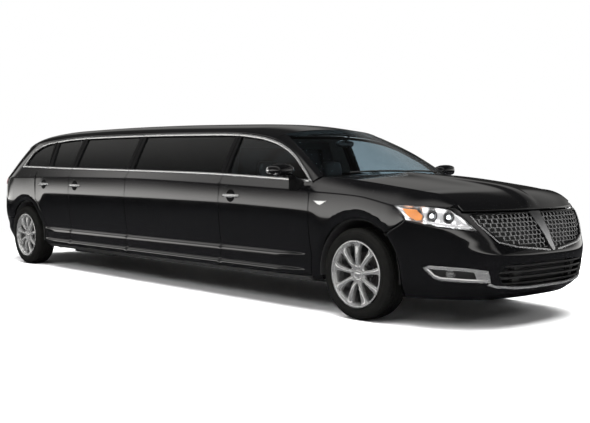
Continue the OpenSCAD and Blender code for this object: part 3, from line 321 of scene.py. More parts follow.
def soft_inset(x, z):
    """The section with its folds rounded off, as a press leaves them."""
    return (inset(x, z - 7) + 2 * inset(x, z - 3.5) + 3 * inset(x, z) + 2 * inset(x, z + 3.5) + inset(x, z + 7)) / 9


def arch_roll(x, z):
    """How far a panel's edge rolls inwards round the nearest wheel arch."""
    r = math.hypot(x - (FRONT_X if x > 0 else REAR_X), z - AXLE_Z)
    return 26 * ramp((494 - r) / 57) ** 2


def tail_end(z):
    return -NOSE_X + tail_line.at(z)


def tail_plan(x, z):
    return (1 - ramp((tail_end(z) + TAIL_DEPTH - x) / TAIL_DEPTH) ** 2) ** 0.4


def side_half(x, z):
    return (HALF_W - soft_inset(x, z) - bow(x)) * tail_plan(x, z)


def side_skin(x, z, t):
    return (x, t - side_half(x, z), z)


def side_lining(x, z):
    c, b, w = crease_z(x), belt_z(x), shoulder.at(x, 3)
    depth = inset(x, z) + 46 if z > b else mix(92, w + 46, ramp((z - c) / (b - c)))
    return (x, -(HALF_W - bow(x) - depth) * tail_plan(x, z), z)


def steps(a, b, size):
    n = max(1, int(round(abs(b - a) / size)))
    return [mix(a, b, i / n) for i in range(n + 1)]


def evenly(loop, size):
    """A closed outline cut into short pieces, with its corners kept."""
    out = []
    for (ax, az), (bx, bz) in zip(loop, loop[1:] + loop[:1]):
        n = max(1, int(math.ceil(math.hypot(bx - ax, bz - az) / size)))
        out += [(mix(ax, bx, i / n), mix(az, bz, i / n)) for i in range(n)]
    return out


def pulled_in(loop, d):
    """The outline moved to its left by d: inwards on one that runs anticlockwise."""
    out = []
    n = len(loop)
    for i in range(n):
        (ax, az), (bx, bz), (cx, cz) = loop[i - 1], loop[i], loop[(i + 1) % n]
        u, v = math.hypot(bx - ax, bz - az) or 1, math.hypot(cx - bx, cz - bz) or 1
        nx, nz = -(bz - az) / u - (cz - bz) / v, (bx - ax) / u + (cx - bx) / v
        k = math.hypot(nx, nz)
        k = max(k * k / 2, 0.5)
        out.append((bx + nx / k * d, bz + nz / k * d))
    return out


def area(loop):
    return sum(a[0] * b[1] - b[0] * a[1] for a, b in zip(loop, loop[1:] + loop[:1])) / 2


def within(p, loop):
    x, z = p
    inside = False
    for (ax, az), (bx, bz) in zip(loop, loop[1:] + loop[:1]):
        if (az > z) != (bz > z) and x < (bx - ax) * (z - az) / (bz - az) + ax:
            inside = not inside
    return inside


def pressed(name, outline, holes, points, skin, lining, mats, fold=3.0, size=14, depth=2.6):
    """A panel cut to an outline with holes: rolled edges, a skin outside and a lining inside."""
    loops = [evenly(outline if area(outline) > 0 else outline[::-1], size)]
    loops += [evenly(h if area(h) < 0 else h[::-1], size) for h in holes]
    rim = [pulled_in(loop, fold + 3) for loop in loops]
    flat, edges = [], []
    for loop in rim:
        o = len(flat)
        flat += loop
        edges += [(o + i, o + (i + 1) % len(loop)) for i in range(len(loop))]
    near = [pulled_in(loop, fold + 3 + size * 0.3) for loop in loops]
    for p in points:
        if within(p, near[0]) and not any(within(p, h) for h in near[1:]):
            flat.append(p)
    got = delaunay_2d_cdt([Vector(p) for p in flat], edges, [], 0, 1e-4)
    flat = [(p.x, p.y) for p in got[0]]
    spot = {}
    for new, olds in enumerate(got[3]):
        for old in olds:
            spot[old] = new
    tris = []
    for f in got[2]:
        m = (sum(flat[i][0] for i in f) / 3, sum(flat[i][1] for i in f) / 3)
        if within(m, rim[0]) and not any(within(m, h) for h in rim[1:]):
            tris.append(tuple(f))
    n = len(flat)
    pts = [skin(x, z, 0) for x, z in flat] + [lining(x, z) for x, z in flat]
    faces = tris + [(a + n, c + n, b + n) for a, b, c in tris]
    kinds = [0] * len(tris) + [1] * len(tris)
    o = 0
    for loop in loops:
        m = len(loop)
        rings = [[spot[o + i] for i in range(m)]]
        for back, deep in ((fold, 0), (fold * 0.3, depth * 0.18), (0, depth)):
            rings.append(list(range(len(pts), len(pts) + m)))
            pts += [skin(x, z, deep) for x, z in pulled_in(loop, back)]
        rings.append(list(range(len(pts), len(pts) + m)))
        pts += [lining(x, z) for x, z in loop]
        rings.append([spot[o + i] + n for i in range(m)])
        for k, (a, b) in enumerate(zip(rings, rings[1:])):
            for i in range(m):
                j = (i + 1) % m
                faces.append((a[j], a[i], b[i], b[j]))
                kinds.append(1 if k > 3 else 0)
        o += m
    made = plain_mesh(name, [(x / 1000, y / 1000, z / 1000) for x, y, z in pts], faces, mats, kinds)
    made.data.set_sharp_from_angle(angle=math.radians(38))
    return made


def mirrored(thing, name):
    """A left-hand copy of a right-hand piece, faces turned to point outwards again."""
    mesh = thing.data.copy()
    for v in mesh.vertices:
        v.co.y = -v.co.y
    mesh.flip_normals()
    made = bpy.data.objects.new(name, mesh)
    scene.collection.objects.link(made)
    return made


def paint_look(w):
    flake = w.noise(900, 2.0)
    haze = w.noise(3.0, 3.0)
    return {"Base Color": flake.ramp(0.35, 0.75).mix((0.0012, 0.0012, 0.0014, 1), (0.0028, 0.0028, 0.003, 1)),
            "Roughness": 0.05 + 0.05 * haze}


def lining_look(w):
    grain = w.noise(260, 4.0)
    patch = w.noise(7, 2.0)
    return {"Base Color": patch.mix((0.016, 0.016, 0.017, 1), (0.026, 0.025, 0.025, 1)),
            "Roughness": 0.5 + 0.2 * grain, "Normal": w.bump(grain, 0.35, 0.0008)}


paint = surface("gloss_black_paint", {"Coat Weight": 1.0, "Coat Roughness": 0.015, "Specular IOR Level": 0.45},
                paint_look)
lining = surface("grained_door_lining", {}, lining_look)


def feature_rows(x, z0, z1):
    zs = [266, 272, 278, 284, 290, 294, 298, 302, 306, 312, 320, 328, 336, 341, 345, 348, 351, 354, 358, 363, 374,
          392, 408, 418, 424, 428, 432, 438, 446, 454, 462, 469, 473, 476, 479, 482, 485, 488, 491, 496, 504]
    folds = [crease_z(x), belt_z(x)]
    for f in folds:
        zs += [f - 12, f - 7, f - 3.5, f, f + 3.5, f + 7, f + 12]
    zs += steps(520, crease_z(x) - 16, 28) + [mix(crease_z(x), belt_z(x), u) for u in (0.3, 0.5, 0.7)]
    zs += [belt_z(x) + 16 + i * 30 for i in range(18)]
    return [z for z in sorted(zs) if z0 < z < z1]


def side_points(x0, x1, z0=240, z1=1600):
    return [(x, z) for x in steps(x0, x1, 34) for z in feature_rows(x, z0, z1)]


def rail_edge(x0, x1, d):
    return [(x, rail_z(x) - d) for x in steps(x0, x1, 40)]


def sill_edge(x0, x1):
    return [(x, belt_z(x) + 13) for x in steps(x0, x1, 60)]


def dogleg(r, first=56, last=-9):
    return [(REAR_X + r * math.cos(math.radians(a)), AXLE_Z + r * math.sin(math.radians(a)))
            for a in steps(first, last, 3)]


HALF_GAP = GAP / 2
front_door = [(DOOR_F1 - HALF_GAP, DOOR_Z), (DOOR_F1 - HALF_GAP, belt_z(DOOR_F1) - 10)] \
    + rail_edge(DOOR_F1 - 25, DOOR_F0 + HALF_GAP, GAP) + [(DOOR_F0 + HALF_GAP, DOOR_Z)]
middle_door = [(DOOR_M1 - HALF_GAP, DOOR_Z)] + rail_edge(DOOR_M1 - HALF_GAP, DOOR_R1 + HALF_GAP, GAP) \
    + [(DOOR_R1 + HALF_GAP, DOOR_Z)]
rear_door = [(DOOR_R1 - HALF_GAP, DOOR_Z)] + rail_edge(DOOR_R1 - HALF_GAP, FRAME_X - 70, GAP) \
    + [(FRAME_X, belt_z(FRAME_X)), (DOOR_R0, belt_z(DOOR_R0))] + dogleg(555) \
    + [(REAR_X + 555 * math.cos(math.radians(9)), DOOR_Z)]
front_window = sill_edge(DOOR_F0 + 48, DOOR_F1 - 105) + rail_edge(DOOR_F1 - 128, DOOR_F0 + 40, 34)
middle_window = sill_edge(DOOR_R1 + 58, DOOR_M1 - 62) + rail_edge(DOOR_M1 - 72, DOOR_R1 + 48, 34)
rear_window = sill_edge(FRAME_X + 70, DOOR_R1 - 48) + rail_edge(DOOR_R1 - 58, FRAME_X - 20, 34)
stretch_window = sill_edge(DOOR_M1 + 68, DOOR_F0 - 52) + rail_edge(DOOR_F0 - 60, DOOR_M1 + 58, 34)
pillar_look = drifting((5.0,), (0.0012, 0.0012, 0.0013), (0.0024, 0.0024, 0.0025), 0.4, 0.15, (90.0, 3.0))
pillar_black = surface("window_frame_black", {"Specular IOR Level": 0.12}, pillar_look)


def blacked_out(panel, end=-4000):
    """The frames between the side windows carry a dull black finish from the sill up to the roof rail."""
    panel.data.materials.append(pillar_black)
    for face in panel.data.polygons:
        x, z = face.center.x * 1000, face.center.z * 1000
        if face.material_index == 0 and x > end and belt_z(x) + 8 < z < rail_z(x) - 12:
            face.material_index = 2


def on_both(made, stem, node, body):
    """Rides a right-hand piece and its left-hand copy on the two bodies they stand on."""
    other = mirrored(made, stem + "_left")
    for piece, s, side in ((made, "r", "right"), (other, "l", "left")):
        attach(piece, body.format(side))
        if node:
            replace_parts(piece, node.format(s))
    return made, other


for stem, letter, outline, window in (("front", "f", front_door, front_window),
                                      ("middle", "m", middle_door, middle_window),
                                      ("rear", "r", rear_door, rear_window)):
    xs = [p[0] for p in outline]
    door = pressed(stem + "_door_right", outline, [window], side_points(min(xs), max(xs)), side_skin, side_lining,
                   [paint, lining])
    blacked_out(door)
    on_both(door, stem + "_door", "door_" + letter + "{}", "door_" + stem + "_{}")


# Stretch panels: the long fixed walls between the front and middle doors, of pressed steel with a
# grained lining, welded in where the car was lengthened.
STRETCH_FOOT = 295.3
stretch = [(DOOR_M1 + HALF_GAP, STRETCH_FOOT), (DOOR_F0 - HALF_GAP, STRETCH_FOOT)]
stretch += rail_edge(DOOR_F0 - HALF_GAP, DOOR_M1 + HALF_GAP, 1.6)
panel = pressed("stretch_panel_right", stretch, [stretch_window], side_points(DOOR_M1, DOOR_F0), side_skin, side_lining,
                [paint, lining])
blacked_out(panel)
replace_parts(on_both(panel, "stretch_panel", None, "body")[0], "stretch_panels")


# Side glass: curved toughened panes, 5 mm thick, set 16 mm into their frames. The lounge panes are
# dyed nearly black; the front doors keep a light blue-grey tint.
privacy_look = drifting((2.0,), (0.012, 0.013, 0.013), (0.020, 0.021, 0.021), 0.01, 0.02, (5.0,))
light_tint_look = drifting((2.0,), (0.42, 0.50, 0.54), (0.47, 0.55, 0.59), 0.004, 0.01, (5.0,))
privacy_glass = surface("privacy_glass", {"Transmission Weight": 0.9, "IOR": 1.3}, privacy_look)
light_glass = surface("light_tint_glass", {"Transmission Weight": 1.0, "IOR": 1.01, "Coat Weight": 0.9,
                                           "Coat Roughness": 0.01}, light_tint_look)
light_glass_back = surface("light_tint_glass_inside", {"Transmission Weight": 1.0, "IOR": 1.01}, light_tint_look)


def pane_points(window):
    xs = [p[0] for p in window]
    return [(x, belt_z(x) + 13 + i * 34) for x in steps(min(xs), max(xs), 60) for i in range(1, 14)]


def pane(name, window, glass):
    back = light_glass_back if glass == light_glass else glass
    return pressed(name, window, [], pane_points(window), lambda x, z, t: side_skin(x, z, 16 + t * 0.3),
                   lambda x, z: side_skin(x, z, 21), [glass, back], fold=1.0)


for stem, letter, window, glass, tone in (("front", "f", front_window, light_glass, "clear_glass"),
                                          ("middle", "m", middle_window, privacy_glass, "tinted_glass"),
                                          ("rear", "r", rear_window, privacy_glass, "tinted_glass")):
    on_both(pane(stem + "_glass_right", window, glass), stem + "_glass", "glass_" + letter + "{}",
            "door_" + stem + "_{}")
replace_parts(on_both(pane("stretch_glass_right", stretch_window, privacy_glass), "stretch_glass", None, "body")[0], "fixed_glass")


# Rear quarters: wrap-round steel pressings, welded in from the rear doors to the tailgate, with the
# wheel arch cut in and a small pane bonded in its opening.
TAIL_TURN = 900
def tail_side(x, z, t):
    if x > REAR_X:
        return HALF_W - t - soft_inset(x, z)
    return HALF_W - t - soft_inset(x, max(z, 486)) - max(0, 420 - z) * 0.3


def tail_skin(a, z, t):
    q = -a / TAIL_TURN
    x0 = tail_end(z) + TAIL_DEPTH
    s = 1 if q > 0 else -1
    if abs(q) <= 1:
        r = math.radians(90 * abs(q))
        x = x0 - (TAIL_DEPTH - t) * math.cos(r)
        return (x, s * (tail_side(x0, z, t) * math.sin(r) ** 0.8 - arch_roll(x, z)), z)
    x = mix(x0, FRAME_X + 20, abs(q) - 1)
    return (x, s * (tail_side(x, z, t) - arch_roll(x, z)), z)


def tail_place(x, z):
    """Where a side-view point lies on the rear skin's own chart."""
    x0 = tail_end(z) + TAIL_DEPTH
    if x >= x0:
        return (TAIL_TURN * (1 + (x - x0) / (FRAME_X + 20 - x0)), z)
    return (TAIL_TURN * math.degrees(math.acos(min(1, (x0 - x) / TAIL_DEPTH))) / 90, z)


def arch_edge(x, first, last, r=ARCH_R):
    return [(x + r * math.cos(math.radians(a)), AXLE_Z + r * math.sin(math.radians(a))) for a in steps(first, last, 3)]


def quarter_top(a):
    x = -2500
    for _ in range(4):
        x = tail_skin(a, rail_z(x), 0)[0]
    return rail_z(x) - 1.3


QUARTER_WINDOW = sill_edge(REAR_X - 95, FRAME_X - 32) + [(FRAME_X - 140, rail_z(FRAME_X - 140) - 34),
                                                         (REAR_X + 250, rail_z(REAR_X + 250) - 40),
                                                         (REAR_X + 110, 1460), (REAR_X - 20, 1392), (REAR_X - 80, 1310)]
edge = 548
quarter = [(554, 574)] + [tail_place(x, z) for x, z in arch_edge(REAR_X, 151.4, -14.6)]
quarter += [tail_place(x, z) for x, z in [(REAR_X + edge * math.cos(math.radians(9)), 256)] + dogleg(edge)[::-1]
            + [(DOOR_R0 - GAP, belt_z(DOOR_R0) + GAP), (FRAME_X - GAP, belt_z(FRAME_X) + GAP),
               (FRAME_X - 77, rail_z(FRAME_X - 77) - 1)]]
last = quarter[-1][0]
quarter += [(a, quarter_top(a)) for a in steps(last - 20, 554, 30)]
quarter_hole = [tail_place(x, z) for x, z in evenly(QUARTER_WINDOW, 40)]
quarter_points = [tail_place(x, z) for x in steps(-3240, -2340, 30) for z in feature_rows(x, 250, 1560)]
quarter_points += [(a, z) for a in steps(560, 890, 22) for z in feature_rows(-3300, 560, 1560)]
panel = pressed("quarter_panel_right", quarter, [quarter_hole], quarter_points, tail_skin,
                lambda a, z: tail_skin(a, z, 50), [paint, lining])
blacked_out(panel, -2560)
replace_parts(on_both(panel, "quarter_panel", None, "body")[0], "quarter_panels")
glass = pressed("quarter_glass_right", quarter_hole, [], [tail_place(x, z) for x in steps(-3010, -2380, 40)
                                                          for z in steps(1220, 1560, 34)],
                lambda a, z, t: tail_skin(a, z, 16 + t * 0.3), lambda a, z: tail_skin(a, z, 21),
                [privacy_glass, privacy_glass], fold=1.0)
on_both(glass, "quarter_glass", None, "body")


# Roof: one long steel skin, gently crowned, painted gloss black and brazed to the rails over the
# doors. Its rear edge bows forwards over the tailgate.
ROOF_LONG, ROOF_HALF = 5140, 720
crown = Line([(-3450, 92), (-3300, 60), (-3000, 24), (-2500, 2), (-1500, 0), (-505, 10), (260, 28), (1220, 62),
              (1790, 132)])


def roof_skin(a, b, t):
    u, s = a / ROOF_LONG, b / ROOF_HALF
    x = mix(-3446.5 + 150 * s * s, 1786.5 - 90 * (min(abs(s) * ROOF_HALF, 600) / 600) ** 2, u)
    z = mix(rail_z(x), BODY_H - crown.at(x), max(0, 1 - abs(s) ** 2.5) ** 0.714)
    return (x, s * (side_half(x, rail_z(x)) - t), z - t * (1 - abs(s) ** 8))


roof_box = [(0, -ROOF_HALF), (ROOF_LONG, -ROOF_HALF), (ROOF_LONG, ROOF_HALF), (0, ROOF_HALF)]
across = [s * (1 - (1 - k / 14) ** 1.8) * 716 for k in range(1, 15) for s in (-1, 1)] + [0]
top = pressed("roof_skin", roof_box, [], [(a, b) for a in steps(20, 5120, 60) for b in across], roof_skin,
              lambda a, b: roof_skin(a, b, 42), [paint, lining], fold=2.0, depth=1.5)
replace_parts(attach(top, "body"), "roof")


# Windshield and its pillars: a bowed pane of laminated glass, bonded between two slim painted steel
# posts that run from the fenders up to the roof.
def windshield_pt(u, v, t):
    return (mix(2610, 1790, u) - v * v * mix(200, 90, u) - t * 0.45, v * mix(813, 600, u),
            mix(1150, BODY_H - 130, u) - v * v * mix(18, 48, u) + 40 * u * (1 - u) - t * 0.89)


def windshield_skin(a, b, t):
    return windshield_pt(b / 900, a / 720, t)


shield = pressed("windshield_glass", [(-720, 2), (720, 2), (720, 897), (-720, 897)], [],
                 [(a, b) for a in steps(-700, 700, 50) for b in steps(20, 880, 50)],
                 lambda a, b, t: windshield_skin(a, b, t * 0.3), lambda a, b: windshield_skin(a, b, 5),
                 [light_glass, light_glass_back], fold=1.0)
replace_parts(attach(shield, "body"), "windshield")


def pillar_skin(a, b, t):
    u, v = b / 900 * 0.985, a / 90
    x = mix(2363, 1693.4, u)
    door = (x, -side_half(x, rail_z(x)), rail_z(x))
    glass = windshield_pt(u, -1, 0)
    swell = 14 * math.sin(math.pi * ramp(v))
    p = [mix(d, g - (0.9 if i == 1 else 0), v) for i, (d, g) in enumerate(zip(door, glass))]
    lean = (mix(2, -18, v), mix(40, 0, v), mix(2, -36, v))
    return (p[0] + swell * 0.4 + lean[0] * t / 40, p[1] - swell * 0.7 + lean[1] * t / 40,
            p[2] + swell * 0.5 + lean[2] * t / 40)


post = pressed("windshield_pillar_right", [(0, 0), (90, 0), (90, 900), (0, 900)], [],
               [(a, b) for a in steps(12, 78, 11) for b in steps(12, 890, 30)], pillar_skin,
               lambda a, b: pillar_skin(a, b, 36), [paint, lining], fold=1.5, depth=1.5)
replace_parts(on_both(post, "windshield_pillar", None, "body")[0], "pillars")


# Bonnet: a wide steel lid, painted gloss black and hinged at the windshield. A broad fold is pressed
# along its middle, and narrows to a flat-topped ridge that runs out above the grille's fin.
bonnet_line = Line([(2440, 1168), (2870, 1138), (3380, 1078), (3600, 1045), (3700, 1023), (3780, 990), (3850, 943),
                    (3905, 886)])
BONNET_SWEEP = 0.0002245
LID_LONG, LID_HALF = 1400, 800
bonnet_edge = Line([(2430, 832), (2910, 815), (3220, 798), (3650, 748), (3790, 722)])


def bonnet_fade(m):
    return 1 - ramp((m - 3600) / 260)


def bonnet_z(x, y):
    m = x + BONNET_SWEEP * y * y
    return bonnet_line.at(m) - 26 * (y / 800) ** 2 * bonnet_fade(m)


def bonnet_skin(a, b, t):
    f, s = a / LID_LONG, b / LID_HALF
    y = s * bonnet_edge.at(mix(2430, 3790, f))
    x = mix(2644 - 200 * (y / 813) ** 2, 3903 - BONNET_SWEEP * y * y, f)
    m = x + BONNET_SWEEP * y * y
    ridge = 11 * math.exp(-(y / 130) ** 2) * bonnet_fade(m)
    ridge += 10 * math.exp(-(y / 88) ** 4) * ramp((m - 2900) / 600) * (1 - ramp((m - 3850) / 52))
    return (x - (t * 0.3 if f > 0.9 else 0), y, bonnet_z(x, y) + ridge - t)


lid_rows = steps(10, 1100, 40) + steps(1110, 1392, 14)
lid = pressed("bonnet", [(0, -LID_HALF), (LID_LONG, -LID_HALF), (LID_LONG, LID_HALF), (0, LID_HALF)], [],
              [(a, b) for a in lid_rows for b in steps(-790, -170, 32) + steps(-160, 160, 12)
               + steps(170, 790, 32)], bonnet_skin,
              lambda a, b: bonnet_skin(a, b, mix(28, 11, ramp((a / LID_LONG - 0.8) / 0.2))), [paint, lining],
              fold=5, depth=4)
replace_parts(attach(lid, "hood"), "hood")


# Front fenders: deep-drawn steel pressings round the wheel arches, painted gloss black. They are
# bolted on beside the bonnet and run forwards above the headlamps.
nose_line = Line([(225, 150, 2.8), (300, 62, 3), (360, 32, 3), (450, 14, 3), (560, 0, 3), (640, 38, 3.4),
                  (700, 70, 3.8), (780, 120, 4.4), (880, 195, 5), (945, 240, 5), (990, 305, 5), (1023, 385, 5),
                  (1045, 490, 5)])
CORNER_X = 3220
LAMP = [(3312, 917), (3380, 921), (3550, 914), (3710, 897), (3815, 820), (3885, 742), (3690, 768), (3550, 790),
        (3410, 816)]


def nose_end(z):
    return NOSE_X - nose_line.at(z)


def nose_plan(x, z):
    return (1 - ramp((x - CORNER_X) / (nose_end(z) - CORNER_X)) ** 2) ** (1 / nose_line.at(z, 2))


def fender_top_z(x):
    return mix(belt_z(DOOR_F1), bonnet_z(x, bonnet_edge.at(x)), ramp((x - DOOR_F1) / 70))


def fender_low(x, z):
    inset = soft_inset(x, z) if z > waist.at(x) or x < FRONT_X else 0
    return (HALF_W - bow(x) - inset - arch_roll(x, z)) * nose_plan(x, z)


def fender_skin(x, z, t):
    c, top = crease_z(x), fender_top_z(x)
    if z <= c:
        return (x, t - fender_low(x, z), z)
    u = ramp((z - c) / (top - c))
    edge = mix(side_half(DOOR_F1, belt_z(DOOR_F1)), bonnet_edge.at(x) + GAP, ramp((x - DOOR_F1) / 70))
    return (x, t - mix(fender_low(x, c), edge, u) - 9 * math.sin(math.pi * u), z)


def fender_lining(x, z):
    u = ramp((z - crease_z(x)) / (fender_top_z(x) - crease_z(x)))
    p = fender_skin(x, z, mix(40, 3, u))
    return (p[0], p[1], p[2] - 44 * u)


lamp_gap = pulled_in(LAMP[::-1], -2.5)[::-1]
fender = [(DOOR_F1 + HALF_GAP, 282)] + arch_edge(FRONT_X, 190.95, 50.2) + [(3257, 729), (3330, 767), (3400, 806)]
fender += [lamp_gap[8], lamp_gap[0], lamp_gap[1], lamp_gap[2], (3700, 901)]
fender += [(x, fender_top_z(x)) for x in steps(3740, DOOR_F1 + HALF_GAP, 30)]
fender_points = [(x, z) for x in steps(2380, 3740, 26)
                 for z in steps(290, crease_z(x) - 14, 26) + [crease_z(x) + d for d in (-10, -6, -3, 0, 3, 6, 10)]
                 + [mix(crease_z(x) + 14, fender_top_z(x), u) for u in (0.2, 0.4, 0.6, 0.8, 0.93)]]
panel = pressed("fender_right", fender, [], fender_points, fender_skin, fender_lining, [paint, lining])
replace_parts(on_both(panel, "fender", None, "body")[0], "front_fenders")


# Front bumper cover: a moulded plastic shell, painted as the body is and clipped to the fenders, with
# openings for the grilles, headlamps and fog lamps.
nose_low = Line([(225, 75), (300, 26), (420, 5), (600, 0)])
nose_top = Line([(0, 863), (0.1, 866), (0.36, 868), (0.6, 864), (0.7, 856), (0.8, 824), (0.87, 779), (0.95, 727),
                 (1, 689), (1.1, 676), (1.3, 676)])
UPPER_GRILLE = [(42, 856), (400, 860), (690, 860), (662, 800), (545, 668), (400, 632), (200, 612), (60, 596), (42, 600)]
LOWER_GRILLE = [(-560, 425), (-520, 490), (-200, 506), (200, 506), (520, 490), (560, 425), (510, 348), (250, 326),
                (-250, 326), (-510, 348)]
FOG = [(-898, 462), (-884, 476), (-740, 464), (-632, 446), (-604, 366), (-740, 373), (-846, 383), (-868, 400)]


NOSE_ROUND = 955


def nose_half(z, t):
    return HALF_W - bow(CORNER_X) - nose_low.at(z) - t


def nose_skin(a, z, t):
    """The chart runs along the width at the middle and round the corner to the side, a quarter turn in all."""
    s = 1 if a > 0 else -1
    r = abs(a) / NOSE_ROUND
    if r > math.pi / 2:
        x, y = CORNER_X - (r - math.pi / 2) * NOSE_ROUND, nose_half(z, t)
    else:
        n, c, k = nose_line.at(z, 2), math.cos(r), math.sin(r)
        lo, hi = 1.0, 1.5
        for _ in range(22):
            m = (lo + hi) / 2
            if (m * k) ** n + (m * c) ** 2 > 1:
                hi = m
            else:
                lo = m
        x, y = CORNER_X + (nose_end(z) - CORNER_X - t) * lo * c, nose_half(z, t) * lo * k
    return (x, s * (y - arch_roll(x, z)), z)


def nose_at_y(y, z):
    w = min(1, abs(y) / nose_half(z, 0))
    v = math.sqrt(1 - w ** nose_line.at(z, 2))
    return (math.copysign(NOSE_ROUND * math.atan2(w, v), y), z)


def nose_at_x(x, z, s):
    if x <= CORNER_X:
        return (s * (NOSE_ROUND * math.pi / 2 + CORNER_X - x), z)
    v = min(1, (x - CORNER_X) / (nose_end(z) - CORNER_X))
    return (s * NOSE_ROUND * math.atan2((1 - v * v) ** (1 / nose_line.at(z, 2)), v), z)


def nose_chart(loop, step=18):
    return [nose_at_y(y, z) for y, z in evenly(loop, step)]


def nose_edge(q):
    """Top edge of the cover at a place round the corner, on the chart."""
    z = nose_top.at(q)
    r = math.radians(90 * q)
    return (NOSE_ROUND * math.atan2(math.sin(r) ** (2 / nose_line.at(z, 2)), math.cos(r)), z)


brow = [nose_at_x(x, z, 1) for i, j in ((3, 4), (4, 5), (5, 6), (6, 7), (7, 8))
        for x, z in [(mix(lamp_gap[i][0], lamp_gap[j][0], k / 8), mix(lamp_gap[i][1], lamp_gap[j][1], k / 8))
                     for k in range(9)]]
brow = [p for i, p in enumerate(brow) if p[1] < 866 and (i == 0 or p != brow[i - 1])]
half = [nose_edge(q) for q in [0] + [0.002 * 1.5 ** i for i in range(14)]]
half = [p for p in half if p[0] < brow[0][0] - 6] + brow
foot = [nose_edge(q) for q in steps(0.8, 1, 0.012)]
half += [p for p in foot if p[0] > brow[-1][0] + 4 and p[1] < brow[-1][1]]
arch_run = [nose_at_x(x, z, 1) for x, z in arch_edge(FRONT_X, 44.5, -18.7)]
half += [p for p in arch_run if p[1] < half[-1][1] - 4]
left = half + [(a, 225) for a in steps(arch_run[-1][0] - 20, 0, 24)]
cover = left + [(-a, z) for a, z in left[::-1][1:-1]]
openings = [nose_chart(UPPER_GRILLE), nose_chart([(-y, z) for y, z in UPPER_GRILLE]), nose_chart(LOWER_GRILLE),
            nose_chart(FOG), nose_chart([(-y, z) for y, z in FOG])]
cover_points = [(a, z) for a in steps(-1490, 1490, 21) for z in steps(232, 860, 18)]
bumper = pressed("front_bumper", cover, openings, cover_points, nose_skin, lambda a, z: nose_skin(a, z, 34),
                 [paint, lining])
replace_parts(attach(bumper, "body"), "bumper_front")


# Rear bumper and tailgate: a moulded and painted cover below, and above it a steel gate that lifts on
# hinges at the roof, with the rear window bonded in.
gate_line = Line([(0, 90), (0.3, 104), (0.5, 150), (0.62, 220)])
REAR_GLASS = [(-600, 1250), (-300, 1236), (300, 1236), (600, 1250), (490, 1480), (300, 1530), (-300, 1530),
              (-490, 1480)]


def tail_at_y(y, z):
    share = min(1, abs(y) / tail_side(tail_end(z) + TAIL_DEPTH, z, 0)) ** 1.25
    return (math.copysign(TAIL_TURN * math.degrees(math.asin(share)) / 90, -y), z)


def gate_top(a):
    hi = BODY_H - gate_line.at(abs(a) / TAIL_TURN)
    lo = 1300
    for _ in range(24):
        m = (lo + hi) / 2
        x, y = tail_skin(a, m, 0)[:2]
        if x > -3446.5 + 150 * (y / 760) ** 2 - 14:
            hi = m
        else:
            lo = m
    return lo


bump = [tail_place(x, z) for x, z in arch_edge(REAR_X, 189.9, 152.5)]
right = bump + [(a, 567) for a in steps(bump[-1][0] - 20, 0, 30)]
rear = right + [(-a, z) for a, z in right[::-1][1:]]
cover = pressed("rear_bumper", rear, [], [(a, z) for a in steps(-890, 890, 24) for z in steps(292, 562, 18)], tail_skin,
                lambda a, z: tail_skin(a, z, 34), [paint, lining])
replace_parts(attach(cover, "body"), "bumper_rear")

gate = [(-540, 576), (540, 576)] + [(a, gate_top(a)) for a in steps(540, -540, 24)]
back_glass = [tail_at_y(y, z) for y, z in evenly(REAR_GLASS, 40)]
gate_points = [(a, z) for a in steps(-534, 534, 24)
               for z in steps(584, 980, 30) + steps(990, 1230, 12) + steps(1240, 1590, 20)]
lid = pressed("tailgate_skin", gate, [back_glass], gate_points, tail_skin, lambda a, z: tail_skin(a, z, 50),
              [paint, lining])
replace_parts(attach(lid, "tailgate"), "tailgate")
pane_back = pressed("rear_window", back_glass, [], [(a, z) for a in steps(-500, 500, 40)
                                                    for z in steps(1240, 1530, 30)],
                    lambda a, z, t: tail_skin(a, z, 10 + t * 0.3), lambda a, z: tail_skin(a, z, 15),
                    [privacy_glass, privacy_glass], fold=1.0)
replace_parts(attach(pane_back, "tailgate"), "tailgate_glass")

# Window mouldings: polished stainless strips clipped on the window sills and under the roof rails. They
# are cut at every shut line and come to a point behind the rear quarter pane and at the windshield pillar.
bright_look = drifting((6.0, 3.0), (0.80, 0.80, 0.80), (0.88, 0.88, 0.87), 0.10, 0.12, (40.0,))
bright = surface("polished_stainless", {"Metallic": 0.9}, bright_look)


def grid_mesh(name, rows, mats, ring=True, capped=True, angle=40):
    """A skin over rows of points in mm. A ring joins each row's end to its start, and caps close the two ends."""
    n = len(rows[0])
    pts = [(x / 1000, y / 1000, z / 1000) for row in rows for x, y, z in row]
    faces = []
    for i in range(len(rows) - 1):
        for j in range(n if ring else n - 1):
            k = (j + 1) % n
            faces.append((i * n + j, i * n + k, (i + 1) * n + k, (i + 1) * n + j))
    if ring and capped:
        faces += [tuple(range(n - 1, -1, -1)), tuple(range((len(rows) - 1) * n, len(rows) * n))]
    made = plain_mesh(name, pts, faces, mats)
    work = bmesh.new()
    work.from_mesh(made.data)
    if ring and capped:
        bmesh.ops.recalc_face_normals(work, faces=work.faces)
    work.to_mesh(made.data)
    work.free()
    made.data.set_sharp_from_angle(angle=math.radians(angle))
    return made


def quarter_skin(x, z, t):
    return tail_skin(*tail_place(x, z), t)


def moulding(name, skin, low, high):
    """A strip with an upright face, between a lower and an upper edge on a leaning skin."""
    rows = []
    for (x0, z0), (x1, z1) in zip(low, high):
        a, b, d = skin(x0, z0, 2), skin(x0, z0, -2), skin(x1, z1, 2)
        lean = (z1 - z0) * 0.012
        c = (d[0], min(b[1] + lean, skin(x1, z1, -1.5)[1]), d[2])
        rows.append([a, b] + [tuple(mix(p, q, u) - (0.8 if i == 1 else 0) for i, (p, q) in enumerate(zip(b, c)))
                              for u in (0.12, 0.5, 0.88)] + [c, d])
    return grid_mesh(name, rows, [bright])


